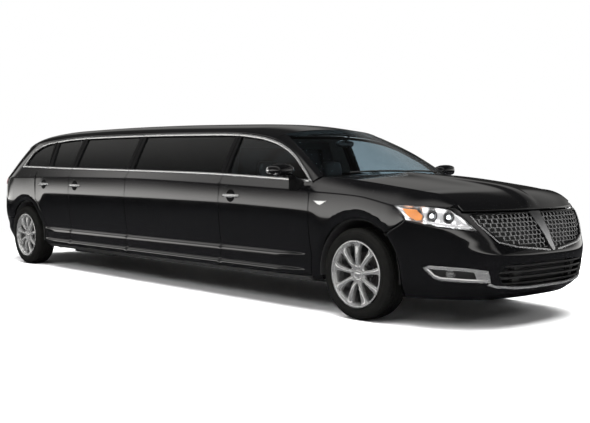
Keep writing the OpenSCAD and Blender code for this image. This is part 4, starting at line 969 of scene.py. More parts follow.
def sill_strip(x0, x1):
    xs = steps(x0, x1, 45)
    return [(x, belt_z(x) - 9) for x in xs], [(x, belt_z(x) + 13) for x in xs]


def head_strip(x0, x1):
    xs = steps(x0, x1, 35)
    return [(x, rail_z(x) - 33) for x in xs], [(x, rail_z(x) - 10) for x in xs]


for stem, body, x0, x1, h0, h1 in (
        ("front_door", "door_front_{}", DOOR_F0 + 6, 2322, DOOR_F0 + 6, 2318),
        ("stretch", "body", DOOR_M1 + 6, DOOR_F0 - 6, DOOR_M1 + 6, DOOR_F0 - 6),
        ("middle_door", "door_middle_{}", DOOR_R1 + 6, DOOR_M1 - 6, DOOR_R1 + 6, DOOR_M1 - 6),
        ("rear_door", "door_rear_{}", FRAME_X + 8, DOOR_R1 - 6, FRAME_X - 60, DOOR_R1 - 6)):
    for kind, two_edges in (("_sill_strip", sill_strip(x0, x1)), ("_head_strip", head_strip(h0, h1))):
        on_both(moulding(stem + kind + "_right", side_skin, *two_edges), stem + kind, None, body)
corner = moulding("front_door_corner_right", side_skin, [(2318, 1098), (2330, 1095), (2345, 1088)],
                  [(2318, 1112), (2330, 1106), (2345, 1094)])
on_both(corner, "front_door_corner", None, "door_front_{}")
low = Line([(-3036, 1232), (-3004, 1304), (-2940, 1398), (-2806, 1470), (-2662, rail_z(-2662) - 35),
            (-2500, rail_z(-2500) - 30), (-2438, rail_z(-2438) - 30)])
high = Line([(-3066, 1236), (-3024, 1314), (-2954, 1414), (-2812, 1487), (-2664, rail_z(-2664) - 17),
             (-2500, rail_z(-2500) - 13), (-2438, rail_z(-2438) - 13)])
us = [i / 40 for i in range(41)]
sweep = moulding("quarter_head_strip_right", quarter_skin, [(mix(-3036, -2438, u), low.at(mix(-3036, -2438, u)))
                                                            for u in us],
                 [(mix(-3066, -2438, u), high.at(mix(-3066, -2438, u))) for u in us])
on_both(sweep, "quarter_head_strip", None, "body")
on_both(moulding("quarter_sill_strip_right", quarter_skin, *sill_strip(-3062, FRAME_X - 10)), "quarter_sill_strip",
        None, "body")


# Door handles: chromed pull bars, each on two feet that go through the door skin, over round cups
# moulded in black plastic.
satin_look = drifting((4.0,), (0.008, 0.008, 0.008), (0.014, 0.014, 0.014), 0.28, 0.12, (120.0, 3.0))
satin_black = surface("satin_black_moulding", {}, satin_look)
for stem, x, z in (("front", 1334, 950), ("middle", -1600, 1004), ("rear", -2380, 1012)):
    rows = []
    for size, out in ((1.0, -0.2), (0.98, -2.6), (0.9, -4.0), (0.8, -3.2), (0.55, -1.4), (0.25, -0.8), (0.02, -0.7)):
        rows.append([side_skin(x + 62 * size * math.cos(r), z + 58 * size * math.sin(r), out)
                     for r in [i * math.pi / 16 for i in range(32)]])
    cup = grid_mesh(stem + "_handle_cup_right", rows, [pillar_black], angle=60)
    on_both(cup, stem + "_handle_cup", None, "door_" + stem + "_{}")
    rows = []
    for i in range(25):
        s = i / 12 - 1
        stand = 36 * (1 - abs(s) ** 3.2)
        tall, thick = 16 * (1 - 0.4 * abs(s) ** 2), 8 - 2 * abs(s)
        rows.append([side_skin(x + 118 * s + 3 * math.sin(r) * s, z + tall * math.cos(r),
                               -stand - thick * math.sin(r) + 3) for r in [k * math.pi / 7 for k in range(14)]])
    on_both(grid_mesh(stem + "_handle_right", rows, [bright], angle=60), stem + "_handle", None,
            "door_" + stem + "_{}")


# Mirrors: painted shells on black feet that are screwed on over the front doors' sill mouldings. Each
# has a bright blade under the shell, a bright tip and a silvered glass set into the back.
def loft(name, sections, mats, angle=50):
    """A closed skin over sections, each a centre, two half sizes along given axes and a squareness."""
    rows = []
    for centre, ax, az, n in sections:
        row = []
        for i in range(28):
            r = i * math.pi / 14
            c, s = math.cos(r), math.sin(r)
            u, v = math.copysign(abs(c) ** (2 / n), c), math.copysign(abs(s) ** (2 / n), s)
            row.append(tuple(centre[k] + ax[k] * u + az[k] * v for k in range(3)))
        rows.append(row)
    return grid_mesh(name, rows, mats, angle=angle)


shell = []
for y, x, z, dx, dz in ((-966, 2172, 1178, 12, 12), (-970, 2172, 1178, 36, 30), (-985, 2172, 1179, 52, 42),
                        (-1020, 2174, 1180, 64, 49), (-1070, 2175, 1181, 68, 52), (-1120, 2174, 1181, 67, 51),
                        (-1160, 2170, 1180, 61, 46), (-1184, 2164, 1179, 48, 36), (-1193, 2158, 1178, 30, 22),
                        (-1196, 2155, 1178, 10, 8)):
    shell.append(((x, y, z), (dx, dx * 0.12, 0), (0, 0, dz), 2.6))
on_both(loft("mirror_shell_right", shell, [paint]), "mirror_shell", "mirror_{}", "door_front_{}")
tip = [((x, y, z), (dx, dx * 0.12, 0), (0, 0, dz), 2.4)
       for y, x, z, dx, dz in ((-1168, 2142, 1180, 33, 37), (-1180, 2141, 1180, 31, 34),
                               (-1190, 2140, 1179, 25, 27), (-1196, 2141, 1178, 15, 17),
                               (-1198.5, 2142, 1178, 5, 6))]
on_both(loft("mirror_tip_right", tip, [bright]), "mirror_tip", None, "door_front_{}")
foot = []
for t, k in ((2, 1.0), (-12, 0.97), (-20, 0.82)):
    low, front, top = (Vector(side_skin(x, z, t)) for x, z in ((2188, 1062), (2262, 1062), (2188, 1112)))
    foot.append((tuple(low), tuple((front - low) * k), tuple((top - low) * k), 2.8))
foot += [((2178, -962, 1128), (44, 0, 0), (0, -12, 22), 2.4), ((2171, -990, 1150), (32, 0, 0), (0, -10, 15), 2.4)]
on_both(loft("mirror_foot_right", foot, [pillar_black]), "mirror_foot", None, "door_front_{}")
blade = []
for i in range(15):
    u = i / 14
    y = mix(-1000, -1194, u)
    taper = (0.3 + 0.7 * u) * (1 - u ** 12) ** 0.5
    blade.append(((mix(2188, 2166, u), y, mix(1140, 1158, u ** 3)), (56 * taper + 2, 6, 0), (0, 0, 15 * taper + 1),
                  2.2))
on_both(loft("mirror_blade_right", blade, [bright]), "mirror_blade", None, "door_front_{}")
silver_look = drifting((3.0,), (0.70, 0.74, 0.76), (0.78, 0.81, 0.83), 0.02, 0.02, (9.0,))
silvered = surface("silvered_glass", {"Metallic": 1.0}, silver_look)
glass = [((2109 - d, -1085, 1181), (0, 84 * k, 0), (0, 0, 40 * k), 3.2)
         for d, k in ((0, 0.9), (2, 1.0), (3.2, 0.97), (3.6, 0.5), (3.7, 0.05))]
on_both(loft("mirror_glass_right", glass, [silvered]), "mirror_glass", None, "door_front_{}")


# Fender wedges: small plain plates of polished metal behind the front wheels, stuck to the skin with
# their upper edges along the crease.
wedge = [(2434, 933), (2462, 934), (2596, 934), (2548, 908), (2514, 894), (2482, 904)]
plate = pressed("fender_wedge_right", wedge, [], [(x, z) for x in steps(2450, 2580, 16)
                                                  for z in steps(900, 930, 10)],
                lambda x, z, t: fender_skin(x, z, t - 4), lambda x, z: fender_skin(x, z, 0.5), [bright, bright],
                fold=2.5, size=8)
on_both(plate, "fender_wedge", None, "body")


# Headlamps: clear moulded lenses over bright reflector bowls, with two projector units, an amber
# turn lamp at the outer end and a bright lower lip.
def turned(name, profile, centre, axis, mats, turns=48, angle=40, wave=None):
    """A turned piece: radius and height in mm along an axis from a centre. An end on the axis is closed to a point."""
    w = Vector(axis).normalized()
    u = w.orthogonal().normalized() if abs(w.y) < 0.99 else Vector((1, 0, 0))
    v = w.cross(u)
    pts = []
    for r, h in profile:
        for i in range(turns):
            a = 2 * math.pi * i / turns
            dr = wave(i, r, h) if wave else 0
            pts.append((Vector(centre) + w * h + (u * math.cos(a) + v * math.sin(a)) * (r + dr)) / 1000)
    n = len(profile)
    whole = profile[0][0] > 0 and profile[-1][0] > 0
    faces = [(k * turns + i, k * turns + (i + 1) % turns, (k + 1) % n * turns + (i + 1) % turns,
              (k + 1) % n * turns + i) for k in range(n if whole else n - 1) for i in range(turns)]
    made = plain_mesh(name, pts, faces, mats)
    work = bmesh.new()
    work.from_mesh(made.data)
    bmesh.ops.remove_doubles(work, verts=work.verts, dist=1e-6)
    bmesh.ops.recalc_face_normals(work, faces=work.faces)
    work.to_mesh(made.data)
    work.free()
    made.data.set_sharp_from_angle(angle=math.radians(angle))
    return made


reflector_look = drifting((9.0,), (0.42, 0.42, 0.43), (0.62, 0.62, 0.62), 0.16, 0.10, (30.0,))


def amber_look(w):
    flute = w.maths("SINE", w.axes()[0] * 900.0)
    return {"Base Color": w.noise(12.0).mix((0.36, 0.10, 0.005, 1), (0.50, 0.165, 0.010, 1)),
            "Roughness": 0.22 + 0.05 * w.noise(60.0), "Normal": w.bump(flute, 0.25, 0.002)}


reflector = surface("lamp_reflector", {"Metallic": 0.8}, reflector_look)
amber = surface("amber_lens", {"Coat Weight": 0.8}, amber_look)
clear_look = drifting((3.0,), (0.97, 0.97, 0.97), (0.99, 0.99, 0.99), 0.0, 0.02, (6.0,))
lens_front = surface("clear_lens", {"Transmission Weight": 1.0, "IOR": 1.01, "Coat Weight": 0.7}, clear_look)
lens_back = surface("clear_lens_back", {"Transmission Weight": 1.0, "IOR": 1.01}, clear_look)
lamp_roof = Line([(p[0], p[1]) for p in LAMP[:6]])
lamp_foot = Line([(p[0], p[1]) for p in [LAMP[0], LAMP[8], LAMP[7], LAMP[6], LAMP[5]]])


def lamp_skin(x, z, t):
    return (x - t * 0.5, t - (HALF_W - bow(x)) * nose_plan(x, z), z)


def bowl_depth(x, z):
    u = ramp((z - lamp_foot.at(x)) / max(4, lamp_roof.at(x) - lamp_foot.at(x)))
    v = ramp((x - 3312) / 573)
    dish = (max(0, math.sin(math.pi * u)) ** 0.6) * (max(0, math.sin(math.pi * v)) ** 0.4)
    return 12 + dish * (30 + 8 * math.cos((x - 3608) / 112 * 2 * math.pi))


lens_points = [(x, z) for x in steps(3320, 3880, 24) for z in steps(745, 915, 18)]
lens = pressed("headlamp_lens_right", LAMP, [], lens_points, lambda x, z, t: lamp_skin(x, z, 2.6 + t * 0.5),
               lambda x, z: lamp_skin(x, z, 6), [lens_front, lens_back], fold=2.0)
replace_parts(on_both(lens, "headlamp_lens", None, "body")[0], "headlamps")
bowl = pressed("headlamp_bowl_right", LAMP, [], [(x, z) for x in steps(3320, 3880, 12) for z in steps(745, 915, 9)],
               lambda x, z, t: lamp_skin(x, z, bowl_depth(x, z) + t), lambda x, z: lamp_skin(x, z, 60),
               [reflector, satin_black], fold=2.0)
on_both(bowl, "headlamp_bowl", None, "body")
turn_lamp = [(3384, 898), (3500, 890), (3552, 846), (3544, 812), (3504, 809), (3436, 839)]
lamp = pressed("turn_lamp_right", turn_lamp, [], [(x, z) for x in steps(3390, 3550, 14) for z in steps(812, 896, 12)],
               lambda x, z, t: lamp_skin(x, z, 9 + t), lambda x, z: lamp_skin(x, z, 22), [amber, satin_black], fold=4.0)
on_both(lamp, "turn_lamp", None, "body")
for stem, x, z in (("outer", 3612, 842), ("inner", 3722, 836)):
    x0, y0, z0 = lamp_skin(x, z, 42)
    out = (0.62, -0.78, 0)
    ring = turned(stem + "_projector_right", [(36, -6), (37, 16), (34, 20), (30, 19), (28, 12), (26, -6)],
                  (x0, y0, z0), out, [satin_black])
    on_both(ring, stem + "_projector", None, "body")
    ball = turned(stem + "_projector_lens_right", [(0, 20), (9, 19), (18, 15), (24, 9), (26.5, 2), (24, -2),
                                                   (0, -3)], (x0, y0, z0), out, [silvered])
    on_both(ball, stem + "_projector_lens", None, "body")
lip_top = [(x, lamp_foot.at(x) + 26) for x in steps(3560, 3850, 20)]
lip = [(x, lamp_foot.at(x) + 7) for x in steps(3850, 3560, 20)]
blade = pressed("headlamp_lip_right", lip_top[::-1] + lip[::-1], [],
                [(x, lamp_foot.at(x) + 16) for x in steps(3580, 3830, 20)], lambda x, z, t: lamp_skin(x, z, 9 + t),
                lambda x, z: lamp_skin(x, z, 13), [reflector, satin_black], fold=2.0)
on_both(blade, "headlamp_lip", None, "body")


# Upper grille: a woven mesh of dark-chromed links in each half, laid out by geometry nodes along the
# nose, in front of a black air guide, with a bright border along the foot and the inner edges.
link_look = drifting((30.0,), (0.20, 0.20, 0.20), (0.32, 0.32, 0.32), 0.20, 0.12, (80.0,))


def fin_look(w):
    # Painted reflection: the fin's colour runs from dark at its top to pale lower down, standing in for the light it
    # reflects.
    rise = w.axes()[2].ramp(0.86, 0.62)
    return {"Base Color": rise.mix((0.05, 0.05, 0.05, 1), (0.42, 0.42, 0.42, 1)),
            "Roughness": 0.26 + 0.08 * w.noise(60.0)}


dark_chrome = surface("dark_chrome", {"Metallic": 0.8}, link_look)
fin_painted_reflection_metal = surface("fin_painted_reflection_metal", {"Metallic": 0.7}, fin_look)


def laid_out(name, unit, places, finish):
    """Copies of a unit piece, each at its place, turn and stretch, set out by geometry nodes as one mesh."""
    tree = bpy.data.node_groups.new(name + "_layout", "GeometryNodeTree")
    tree.interface.new_socket("Geometry", in_out="INPUT", socket_type="NodeSocketGeometry")
    given = tree.interface.new_socket("Unit", in_out="INPUT", socket_type="NodeSocketObject")
    coat = tree.interface.new_socket("Finish", in_out="INPUT", socket_type="NodeSocketMaterial")
    tree.interface.new_socket("Geometry", in_out="OUTPUT", socket_type="NodeSocketGeometry")
    node = {k: tree.nodes.new(t) for k, t in (("in", "NodeGroupInput"), ("out", "NodeGroupOutput"),
                                              ("unit", "GeometryNodeObjectInfo"),
                                              ("copies", "GeometryNodeInstanceOnPoints"),
                                              ("turn", "GeometryNodeInputNamedAttribute"),
                                              ("stretch", "GeometryNodeInputNamedAttribute"),
                                              ("real", "GeometryNodeRealizeInstances"),
                                              ("coat", "GeometryNodeSetMaterial"))}
    for k in ("turn", "stretch"):
        node[k].data_type = "FLOAT_VECTOR"
        node[k].inputs["Name"].default_value = k
    join = tree.links.new
    join(node["in"].outputs["Geometry"], node["copies"].inputs["Points"])
    join(node["in"].outputs["Unit"], node["unit"].inputs["Object"])
    join(node["unit"].outputs["Geometry"], node["copies"].inputs["Instance"])
    join(node["turn"].outputs["Attribute"], node["copies"].inputs["Rotation"])
    join(node["stretch"].outputs["Attribute"], node["copies"].inputs["Scale"])
    join(node["copies"].outputs["Instances"], node["real"].inputs["Geometry"])
    join(node["real"].outputs["Geometry"], node["coat"].inputs["Geometry"])
    join(node["in"].outputs["Finish"], node["coat"].inputs["Material"])
    join(node["coat"].outputs["Geometry"], node["out"].inputs["Geometry"])
    spots = bpy.data.meshes.new(name + "_spots")
    spots.from_pydata([tuple(c / 1000 for c in place[0]) for place in places], [], [])
    for k, i in (("turn", 1), ("stretch", 2)):
        values = spots.attributes.new(k, "FLOAT_VECTOR", "POINT")
        for j, place in enumerate(places):
            values.data[j].vector = place[i]
    base = bpy.data.objects.new(name + "_base", spots)
    bpy.context.scene.collection.objects.link(base)
    layout = base.modifiers.new("layout", "NODES")
    layout.node_group = tree
    layout[given.identifier] = unit
    layout[coat.identifier] = finish
    seen = base.evaluated_get(bpy.context.evaluated_depsgraph_get())
    mesh = bpy.data.meshes.new_from_object(seen)
    mesh.name = name
    base.modifiers.remove(layout)
    bpy.data.objects.remove(base)
    made = bpy.data.objects.new(name, mesh)
    bpy.context.scene.collection.objects.link(made)
    if not mesh.materials:
        mesh.materials.append(finish)
    mesh.set_sharp_from_angle(angle=math.radians(40))
    return made


def link_unit(name, length, tall, thick, bow_out):
    rows = []
    for i in range(7):
        s = i / 3 - 1
        out = bow_out * (1 - s * s)
        rows.append([(length / 2 * s, out + thick * c, tall / 2 * d) for c, d in
                     ((0, -0.5), (0.7, -1), (1, -0.4), (1, 0.4), (0.7, 1), (0, 0.5))])
    return grid_mesh(name, rows, [dark_chrome], angle=60)


def nose_turn(a, z):
    """Where a place on the nose looks: its turn about the upright axis, and its lean."""
    p, q, r = nose_skin(a + 4, z, 16), nose_skin(a - 4, z, 16), nose_skin(a, z + 6, 16)
    m = nose_skin(a, z, 16)
    along = Vector((p[0] - q[0], p[1] - q[1], 0))
    lean = math.atan2(math.hypot(r[0] - m[0], r[1] - m[1]), 6)
    return math.atan2(along.y, along.x), lean


across, upright = link_unit("link_across", 50, 6, 4, 3), link_unit("link_upright", 36, 13, 6, 5)
for s, side in ((-1, "right"), (1, "left")):
    hole = nose_chart([(s * y, z) for y, z in UPPER_GRILLE])
    inner = pulled_in(hole if area(hole) > 0 else hole[::-1], 4)
    for kind, unit in (("across", across), ("upright", upright)):
        places = []
        for k in range(9):
            for i in range(20):
                z = 604 + 31 * k + (15.5 if kind == "upright" else 0)
                y = s * (60 + 52 * i + (26 if (k + (kind == "upright")) % 2 else 0))
                if abs(y) > 690:
                    continue
                a = nose_at_y(y, z)[0]
                if not within((a, z), inner):
                    continue
                turn, lean = nose_turn(a, z)
                spin = math.pi / 2 if kind == "upright" else 0
                rot = (Matrix.Rotation(turn + math.pi, 3, "Z") @ Matrix.Rotation(lean, 3, "X")
                       @ Matrix.Rotation(spin, 3, "Y"))
                places.append((nose_skin(a, z, 20), tuple(rot.to_euler()), (1, 1, 1)))
        mesh = laid_out("grille_" + kind + "_" + side, unit, places, dark_chrome)
        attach(mesh, "body")
        if kind == "across" and side == "right":
            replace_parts(mesh, "grilles")
for unit in (across, upright):
    bpy.data.objects.remove(unit)


def edging(name, path, skin, section, mats, closed=False):
    """A strip swept along a path on a chart: each section point is a distance to the path's left and a depth."""
    n = len(path)
    rows = []
    for i in range(n):
        before = path[i - 1] if closed or i else path[i]
        after = path[(i + 1) % n] if closed or i < n - 1 else path[i]
        dx, dz = after[0] - before[0], after[1] - before[1]
        k = math.hypot(dx, dz) or 1
        rows.append([skin(path[i][0] - dz / k * d, path[i][1] + dx / k * d, t) for d, t in section])
    if closed:
        rows.append(rows[0])
    made = grid_mesh(name, rows, mats, capped=not closed, angle=35)
    if closed:
        work = bmesh.new()
        work.from_mesh(made.data)
        bmesh.ops.remove_doubles(work, verts=work.verts, dist=1e-6)
        bmesh.ops.recalc_face_normals(work, faces=work.faces)
        work.to_mesh(made.data)
        work.free()
        made.data.set_sharp_from_angle(angle=math.radians(35))
    return made


def open_evenly(path, size):
    out = []
    for (ax, az), (bx, bz) in zip(path, path[1:]):
        n = max(1, int(math.ceil(math.hypot(bx - ax, bz - az) / size)))
        out += [(mix(ax, bx, i / n), mix(az, bz, i / n)) for i in range(n)]
    return out + [path[-1]]


STRIP = [(-1, 14), (-1, -1.5), (1, -3), (8, -3), (10, -1), (10, 14)]
for s, side in ((-1, "right"), (1, "left")):
    edge = open_evenly([(700, 852), (672, 792), (556, 662), (400, 624), (200, 604), (52, 588)], 16)
    rim = edging("grille_border_" + side, [nose_at_y(s * y, z) for y, z in edge], nose_skin,
                 [(s * d, t) for d, t in STRIP], [bright])
    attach(rim, "body")
rows = []
for z, w in ((868, 72), (840, 66), (790, 55), (740, 45), (690, 37), (640, 30), (605, 25), (588, 20), (580, 12)):
    proud = min(10, nose_line.at(z) - 1)
    half = [(w, 6), (w, 0), (w * 0.6, -0.7 * proud), (w * 0.15, -proud)]
    rows.append([nose_skin(-a, z, t) for a, t in half] + [nose_skin(a, z, t) for a, t in half[::-1]])
fin = grid_mesh("grille_fin", rows, [fin_painted_reflection_metal], angle=30)
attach(fin, "body")
guide = nose_chart([(-690, 852), (690, 852), (640, 640), (610, 480), (590, 288), (-590, 288), (-610, 480),
                    (-640, 640)], 30)
shroud = pressed("air_guide", guide, [], [(a, z) for a in steps(-720, 720, 40) for z in steps(296, 850, 40)],
                 lambda a, z, t: nose_skin(a, z, 70 + t), lambda a, z: nose_skin(a, z, 76), [satin_black, satin_black])
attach(shroud, "body")


# Lower grille: four black bars with rounded front edges across the mouth, over a bright strip that
# runs along the lip below them and on to the fog lamps.
for k, z in enumerate((340, 384, 428, 472)):
    half = {340: 520, 384: 538, 428: 552, 472: 530}[z]
    rows = []
    for y in steps(-half, half, 26):
        a = nose_at_y(y, z)[0]
        rows.append([nose_skin(a, z + d, t) for d, t in ((0, 30), (0, 12), (3, 9), (8, 8), (13, 9), (16, 12),
                                                         (16, 30))])
    bar = grid_mesh("lower_grille_bar_" + str(k + 1), rows, [satin_black])
    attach(bar, "body")
path = [nose_at_y(y, z) for y, z in open_evenly([(-612, 351), (-566, 334), (-400, 316), (-200, 310), (200, 310),
                                                 (400, 316), (566, 334), (612, 351)], 24)]
lip = edging("lower_lip_strip", path, nose_skin, [(-9, 3), (-9, -10), (0, -6.5), (8, -3), (9, 3)], [bright])
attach(lip, "body")


# Fog lamp bezels: chromed plastic frames clipped into the bumper round dark recesses. Each has a broad
# plate at its inner end and a small round lamp in the recess.
for s, side in ((1, "right"), (-1, "left")):
    loop = nose_chart([(s * y, z) for y, z in FOG], 12)
    if area(loop) < 0:
        loop = loop[::-1]
    frame_piece = edging("fog_frame_" + side, loop, nose_skin,
                         [(-6, 4), (-6, -1.5), (-4, -4), (9, -4), (18, 3), (18, 30), (15, 30), (6, 4)], [bright],
                         closed=True)
    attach(frame_piece, "body")
    plate = pressed("fog_recess_" + side, loop, [],
                    [(a, z) for a in steps(min(p[0] for p in loop), max(p[0] for p in loop), 26)
                     for z in steps(370, 470, 20)], lambda a, z, t: nose_skin(a, z, 22 + t),
                    lambda a, z: nose_skin(a, z, 30), [satin_black, satin_black])
    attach(plate, "body")
    if side == "right":
        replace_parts(plate, "fog_bezels")
    end = nose_chart([(s * y, z) for y, z in ((-712, 450), (-634, 440), (-608, 372), (-684, 378))], 12)
    if area(end) < 0:
        end = end[::-1]
    broad = pressed("fog_end_" + side, end, [], [(a, z)
                                                 for a in steps(min(p[0] for p in end), max(p[0] for p in end), 16)
                                                 for z in steps(384, 440, 14)],
                    lambda a, z, t: nose_skin(a, z, 4 + t), lambda a, z: nose_skin(a, z, 12), [bright, bright],
                    fold=2.0)
    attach(broad, "body")
    x0, y0, z0 = nose_skin(nose_at_y(s * -812, 424)[0], 424, 18)
    lamp = turned("fog_lamp_" + side, [(0, 8), (14, 7), (24, 3), (29, -2), (31, 2), (34, 3), (35, -6), (0, -8)],
                  (x0, y0, z0), (0.70, -s * 0.70, 0), [dark_chrome])
    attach(lamp, "body")


# Road wheels: cast alloy rims with nine broad tapered spokes, a plain domed cap, five chromed nuts and
# an iron brake disc behind. The spokes and nuts are set out round the hub by geometry nodes.
alloy_look = drifting((5.0, 3.0), (0.60, 0.60, 0.60), (0.70, 0.70, 0.69), 0.19, 0.08, (90.0, 3.0))
# The iron's colour is set nearly black as painted shade for the gaps between the spokes. Its noise is a random tone of
# the metal.
iron_painted_shade_look = drifting((25.0, 4.0), (0.030, 0.028, 0.026), (0.060, 0.057, 0.054), 0.45, 0.15, (70.0, 3.0))
alloy = surface("polished_alloy", {"Metallic": 0.86}, alloy_look)
iron = surface("machined_iron_painted_shade", {"Metallic": 0.7}, iron_painted_shade_look)
WHEEL = (FRONT_X, -832, AXLE_Z)
OUT = (0, -1, 0)


def on_wheels(made, stem, node, body="wheel_{}"):
    """A piece made at the front right wheel, copied to the other three."""
    for end, letter, dx in (("front", "f", 0), ("rear", "r", REAR_X - FRONT_X)):
        for side, s in (("right", "r"), ("left", "l")):
            mesh = made.data.copy()
            for v in mesh.vertices:
                v.co.x += dx / 1000
                if side == "left":
                    v.co.y = -v.co.y
            if side == "left":
                mesh.flip_normals()
            copy = bpy.data.objects.new(stem + "_" + end + "_" + side, mesh)
            bpy.context.scene.collection.objects.link(copy)
            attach(copy, body.format(end + "_" + side))
            if node:
                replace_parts(copy, node.format(letter + s))
    bpy.data.objects.remove(made)


rim = turned("rim", [(267, 117), (262, 119), (254, 118), (250, 113), (248, 104), (244, 96), (238, 86), (236, 60),
                     (233, -96), (240, -108), (252, -117), (266, -117), (266, -108), (252, -98), (250, -60),
                     (250, 60), (252, 96), (265, 106)], WHEEL, OUT, [alloy], 96)
on_wheels(rim, "rim", "wheel_{}")
hub = turned("hub", [(0, 80), (38, 80), (40, 84), (70, 88), (80, 84), (84, 60), (68, 40), (68, -20), (27, -20),
                     (27, 4), (0, 4)], WHEEL, OUT, [alloy], 60)
on_wheels(hub, "hub", None)
cap = turned("cap", [(0, 100), (10, 99.6), (20, 97.5), (28, 94), (32, 89), (33, 78), (0, 77)], WHEEL, OUT, [bright], 48)
on_wheels(cap, "wheel_cap", None)
disc = turned("disc", [(86, -19), (164, -19), (168, -21), (168, -29), (160, -30), (160, -34), (168, -35),
                       (168, -43), (164, -45), (86, -45), (84, -42), (84, -22)], WHEEL, OUT, [iron], 72)
on_wheels(disc, "brake_disc", None)

spoke_half = Line([(58, 19), (80, 15.5), (110, 15), (150, 17), (190, 21), (220, 27), (238, 36), (246, 44)])
spoke_face = Line([(58, 86), (80, 97), (110, 104), (160, 105), (200, 102), (226, 100), (246, 102)])
rows = []
for r in (58, 70, 90, 115, 145, 175, 200, 218, 230, 239, 245):
    half, face = spoke_half.at(r), spoke_face.at(r)
    rows.append([(half * u, -(face + d), r * (1 - 0.5 * (half * u / r) ** 2))
                 for u, d in ((-1.0, -38), (-1.0, -8), (-0.93, -3), (-0.78, -0.6), (-0.4, 2.2), (0, 3), (0.4, 2.2),
                              (0.78, -0.6), (0.93, -3), (1.0, -8), (1.0, -38))])
spoke = grid_mesh("spoke", rows, [alloy], angle=32)
ring = laid_out("spokes", spoke, [(WHEEL, (0, 2 * math.pi * i / 9, 0), (1, 1, 1)) for i in range(9)], alloy)
on_wheels(ring, "spokes", None)
bpy.data.objects.remove(spoke)
nut = turned("nut", [(0, 97), (6, 97), (9.5, 95), (10.5, 86), (10.5, 78), (0, 78)], (0, 0, 0), OUT, [bright], 6)
ring = laid_out("nuts", nut, [((WHEEL[0] + 57 * math.sin(2 * math.pi * i / 5), WHEEL[1],
                                WHEEL[2] + 57 * math.cos(2 * math.pi * i / 5)), (0, 0, 0), (1, 1, 1))
                              for i in range(5)], bright)
on_wheels(ring, "wheel_nuts", None)
bpy.data.objects.remove(nut)


# Tyres: moulded black rubber, seated on the rims, with four grooves round the tread, cross cuts over
# the shoulders and fine ribs on the walls.
rubber_look = drifting((18.0, 4.0), (0.003, 0.003, 0.003), (0.007, 0.007, 0.006), 0.62, 0.18, (60.0, 3.0))
rubber = surface("tyre_rubber", {"Specular IOR Level": 0.14}, rubber_look)
half_tread = [(364.8, 8), (364.8, 24), (357.5, 25), (357.5, 34), (364.6, 35), (364.2, 60), (356.5, 61), (356.5, 69),
              (363, 70), (361.5, 84), (358, 95), (352, 104), (343, 112), (336, 115.5), (335, 117), (326, 119),
              (325, 120.4), (322, 121.8), (312, 122.3), (300, 121.2), (299, 119.8), (290, 118.4), (284, 117),
              (279, 114.5), (276, 112), (269.5, 104), (268, 96)]
section = [(250.5, 90)] + [(r, h) for r, h in half_tread[::-1]] + [(r, -h) for r, h in half_tread] + [(250.5, -90)]


def cross_cut(i, r, h):
    return -5.5 if i % 3 == 0 and 70 < abs(h) < 100 and r > 350 else 0


tyre = turned("tyre", section, WHEEL, OUT, [rubber], 216, 35, cross_cut)
on_wheels(tyre, "tyre", "tyre_{}")


# Brake calipers: cast iron housings that straddle the discs, bolted to the knuckles in front and to
# the axle behind.
for end, x0, body in (("front", FRONT_X, "knuckle_right"), ("rear", REAR_X, "body")):
    rows = []
    for i in range(9):
        a = math.radians(mix(150, 205, i / 8) if end == "front" else mix(-25, 30, i / 8))
        swell = 1 - 0.25 * abs(i / 4 - 1) ** 3
        rows.append([(x0 + math.cos(a) * r, -832 - h * swell + (-32 + 32 * swell), AXLE_Z + math.sin(a) * r)
                     for r, h in ((118, -14), (172, -14), (172, -50), (118, -50), (112, -62), (150, -68),
                                  (184, -60), (190, -32), (184, -2), (150, 4), (112, 0))])
    # The housings take the iron finish, whose near-black colour is painted shade.
    housing = grid_mesh("caliper_" + end + "_right", rows, [iron], angle=50)
    on_both(housing, "caliper_" + end, None, body.replace("right", "{}"))


# Tail lamps: moulded red lenses with fine ribs, wrapped round the rear corners and screwed on from
# inside. A lens bar over a bright strip joins them across the tailgate.
def red_look(w):
    ribs = w.maths("SINE", w.axes()[2] * 700.0)
    return {"Base Color": w.noise(8.0).mix((0.16, 0.004, 0.004, 1), (0.26, 0.008, 0.007, 1)),
            "Roughness": 0.14 + 0.05 * w.noise(40.0), "Normal": w.bump(ribs, 0.2, 0.002)}


red = surface("red_lens", {"Coat Weight": 0.9}, red_look)
lamp_end = [tail_place(-3550, z)[0] for z in (1000, 1088)]
corner_lamp = [(548, 1000), (lamp_end[0] - 40, 1000), (lamp_end[1], 1044), (lamp_end[1] - 60, 1088), (548, 1088)]
lamp = pressed("tail_lamp_right", corner_lamp, [], [(a, z) for a in steps(556, 900, 20) for z in steps(1008, 1080, 12)],
               lambda a, z, t: tail_skin(a, z, -6 + t), lambda a, z: tail_skin(a, z, 0.6), [red, red], fold=4.0)
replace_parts(on_both(lamp, "tail_lamp", None, "body")[0], "tail_lamps")
bar = [(-536, 1004), (536, 1004), (536, 1092), (-536, 1092)]
lamp = pressed("tailgate_lamp_bar", bar, [], [(a, z) for a in steps(-530, 530, 20) for z in steps(1012, 1084, 12)],
               lambda a, z, t: tail_skin(a, z, -6 + t), lambda a, z: tail_skin(a, z, 0.6), [red, red], fold=4.0)
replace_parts(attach(lamp, "tailgate"), "tailgate_lamp")
path = [(a, 998) for a in steps(-530, 530, 24)]
strip = edging("tailgate_strip", path, tail_skin, [(-6, 0.5), (-5, -4), (0, -6), (4, -4), (5, 0.5)], [bright])
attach(strip, "tailgate")


# Rear reflectors: two narrow lenses of moulded red plastic, pushed into slots low down in the rear
# bumper.
for s, side in ((1, "right"), (-1, "left")):
    patch = [(s * a, z) for a, z in ((420, 420), (560, 424), (556, 452), (420, 448))]
    lens = pressed("rear_reflector_" + side, patch, [], [(s * a, 436) for a in steps(430, 550, 14)],
                   lambda a, z, t: tail_skin(a, z, -4 + t), lambda a, z: tail_skin(a, z, 0.5), [red, red], fold=2.5)
    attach(lens, "body")


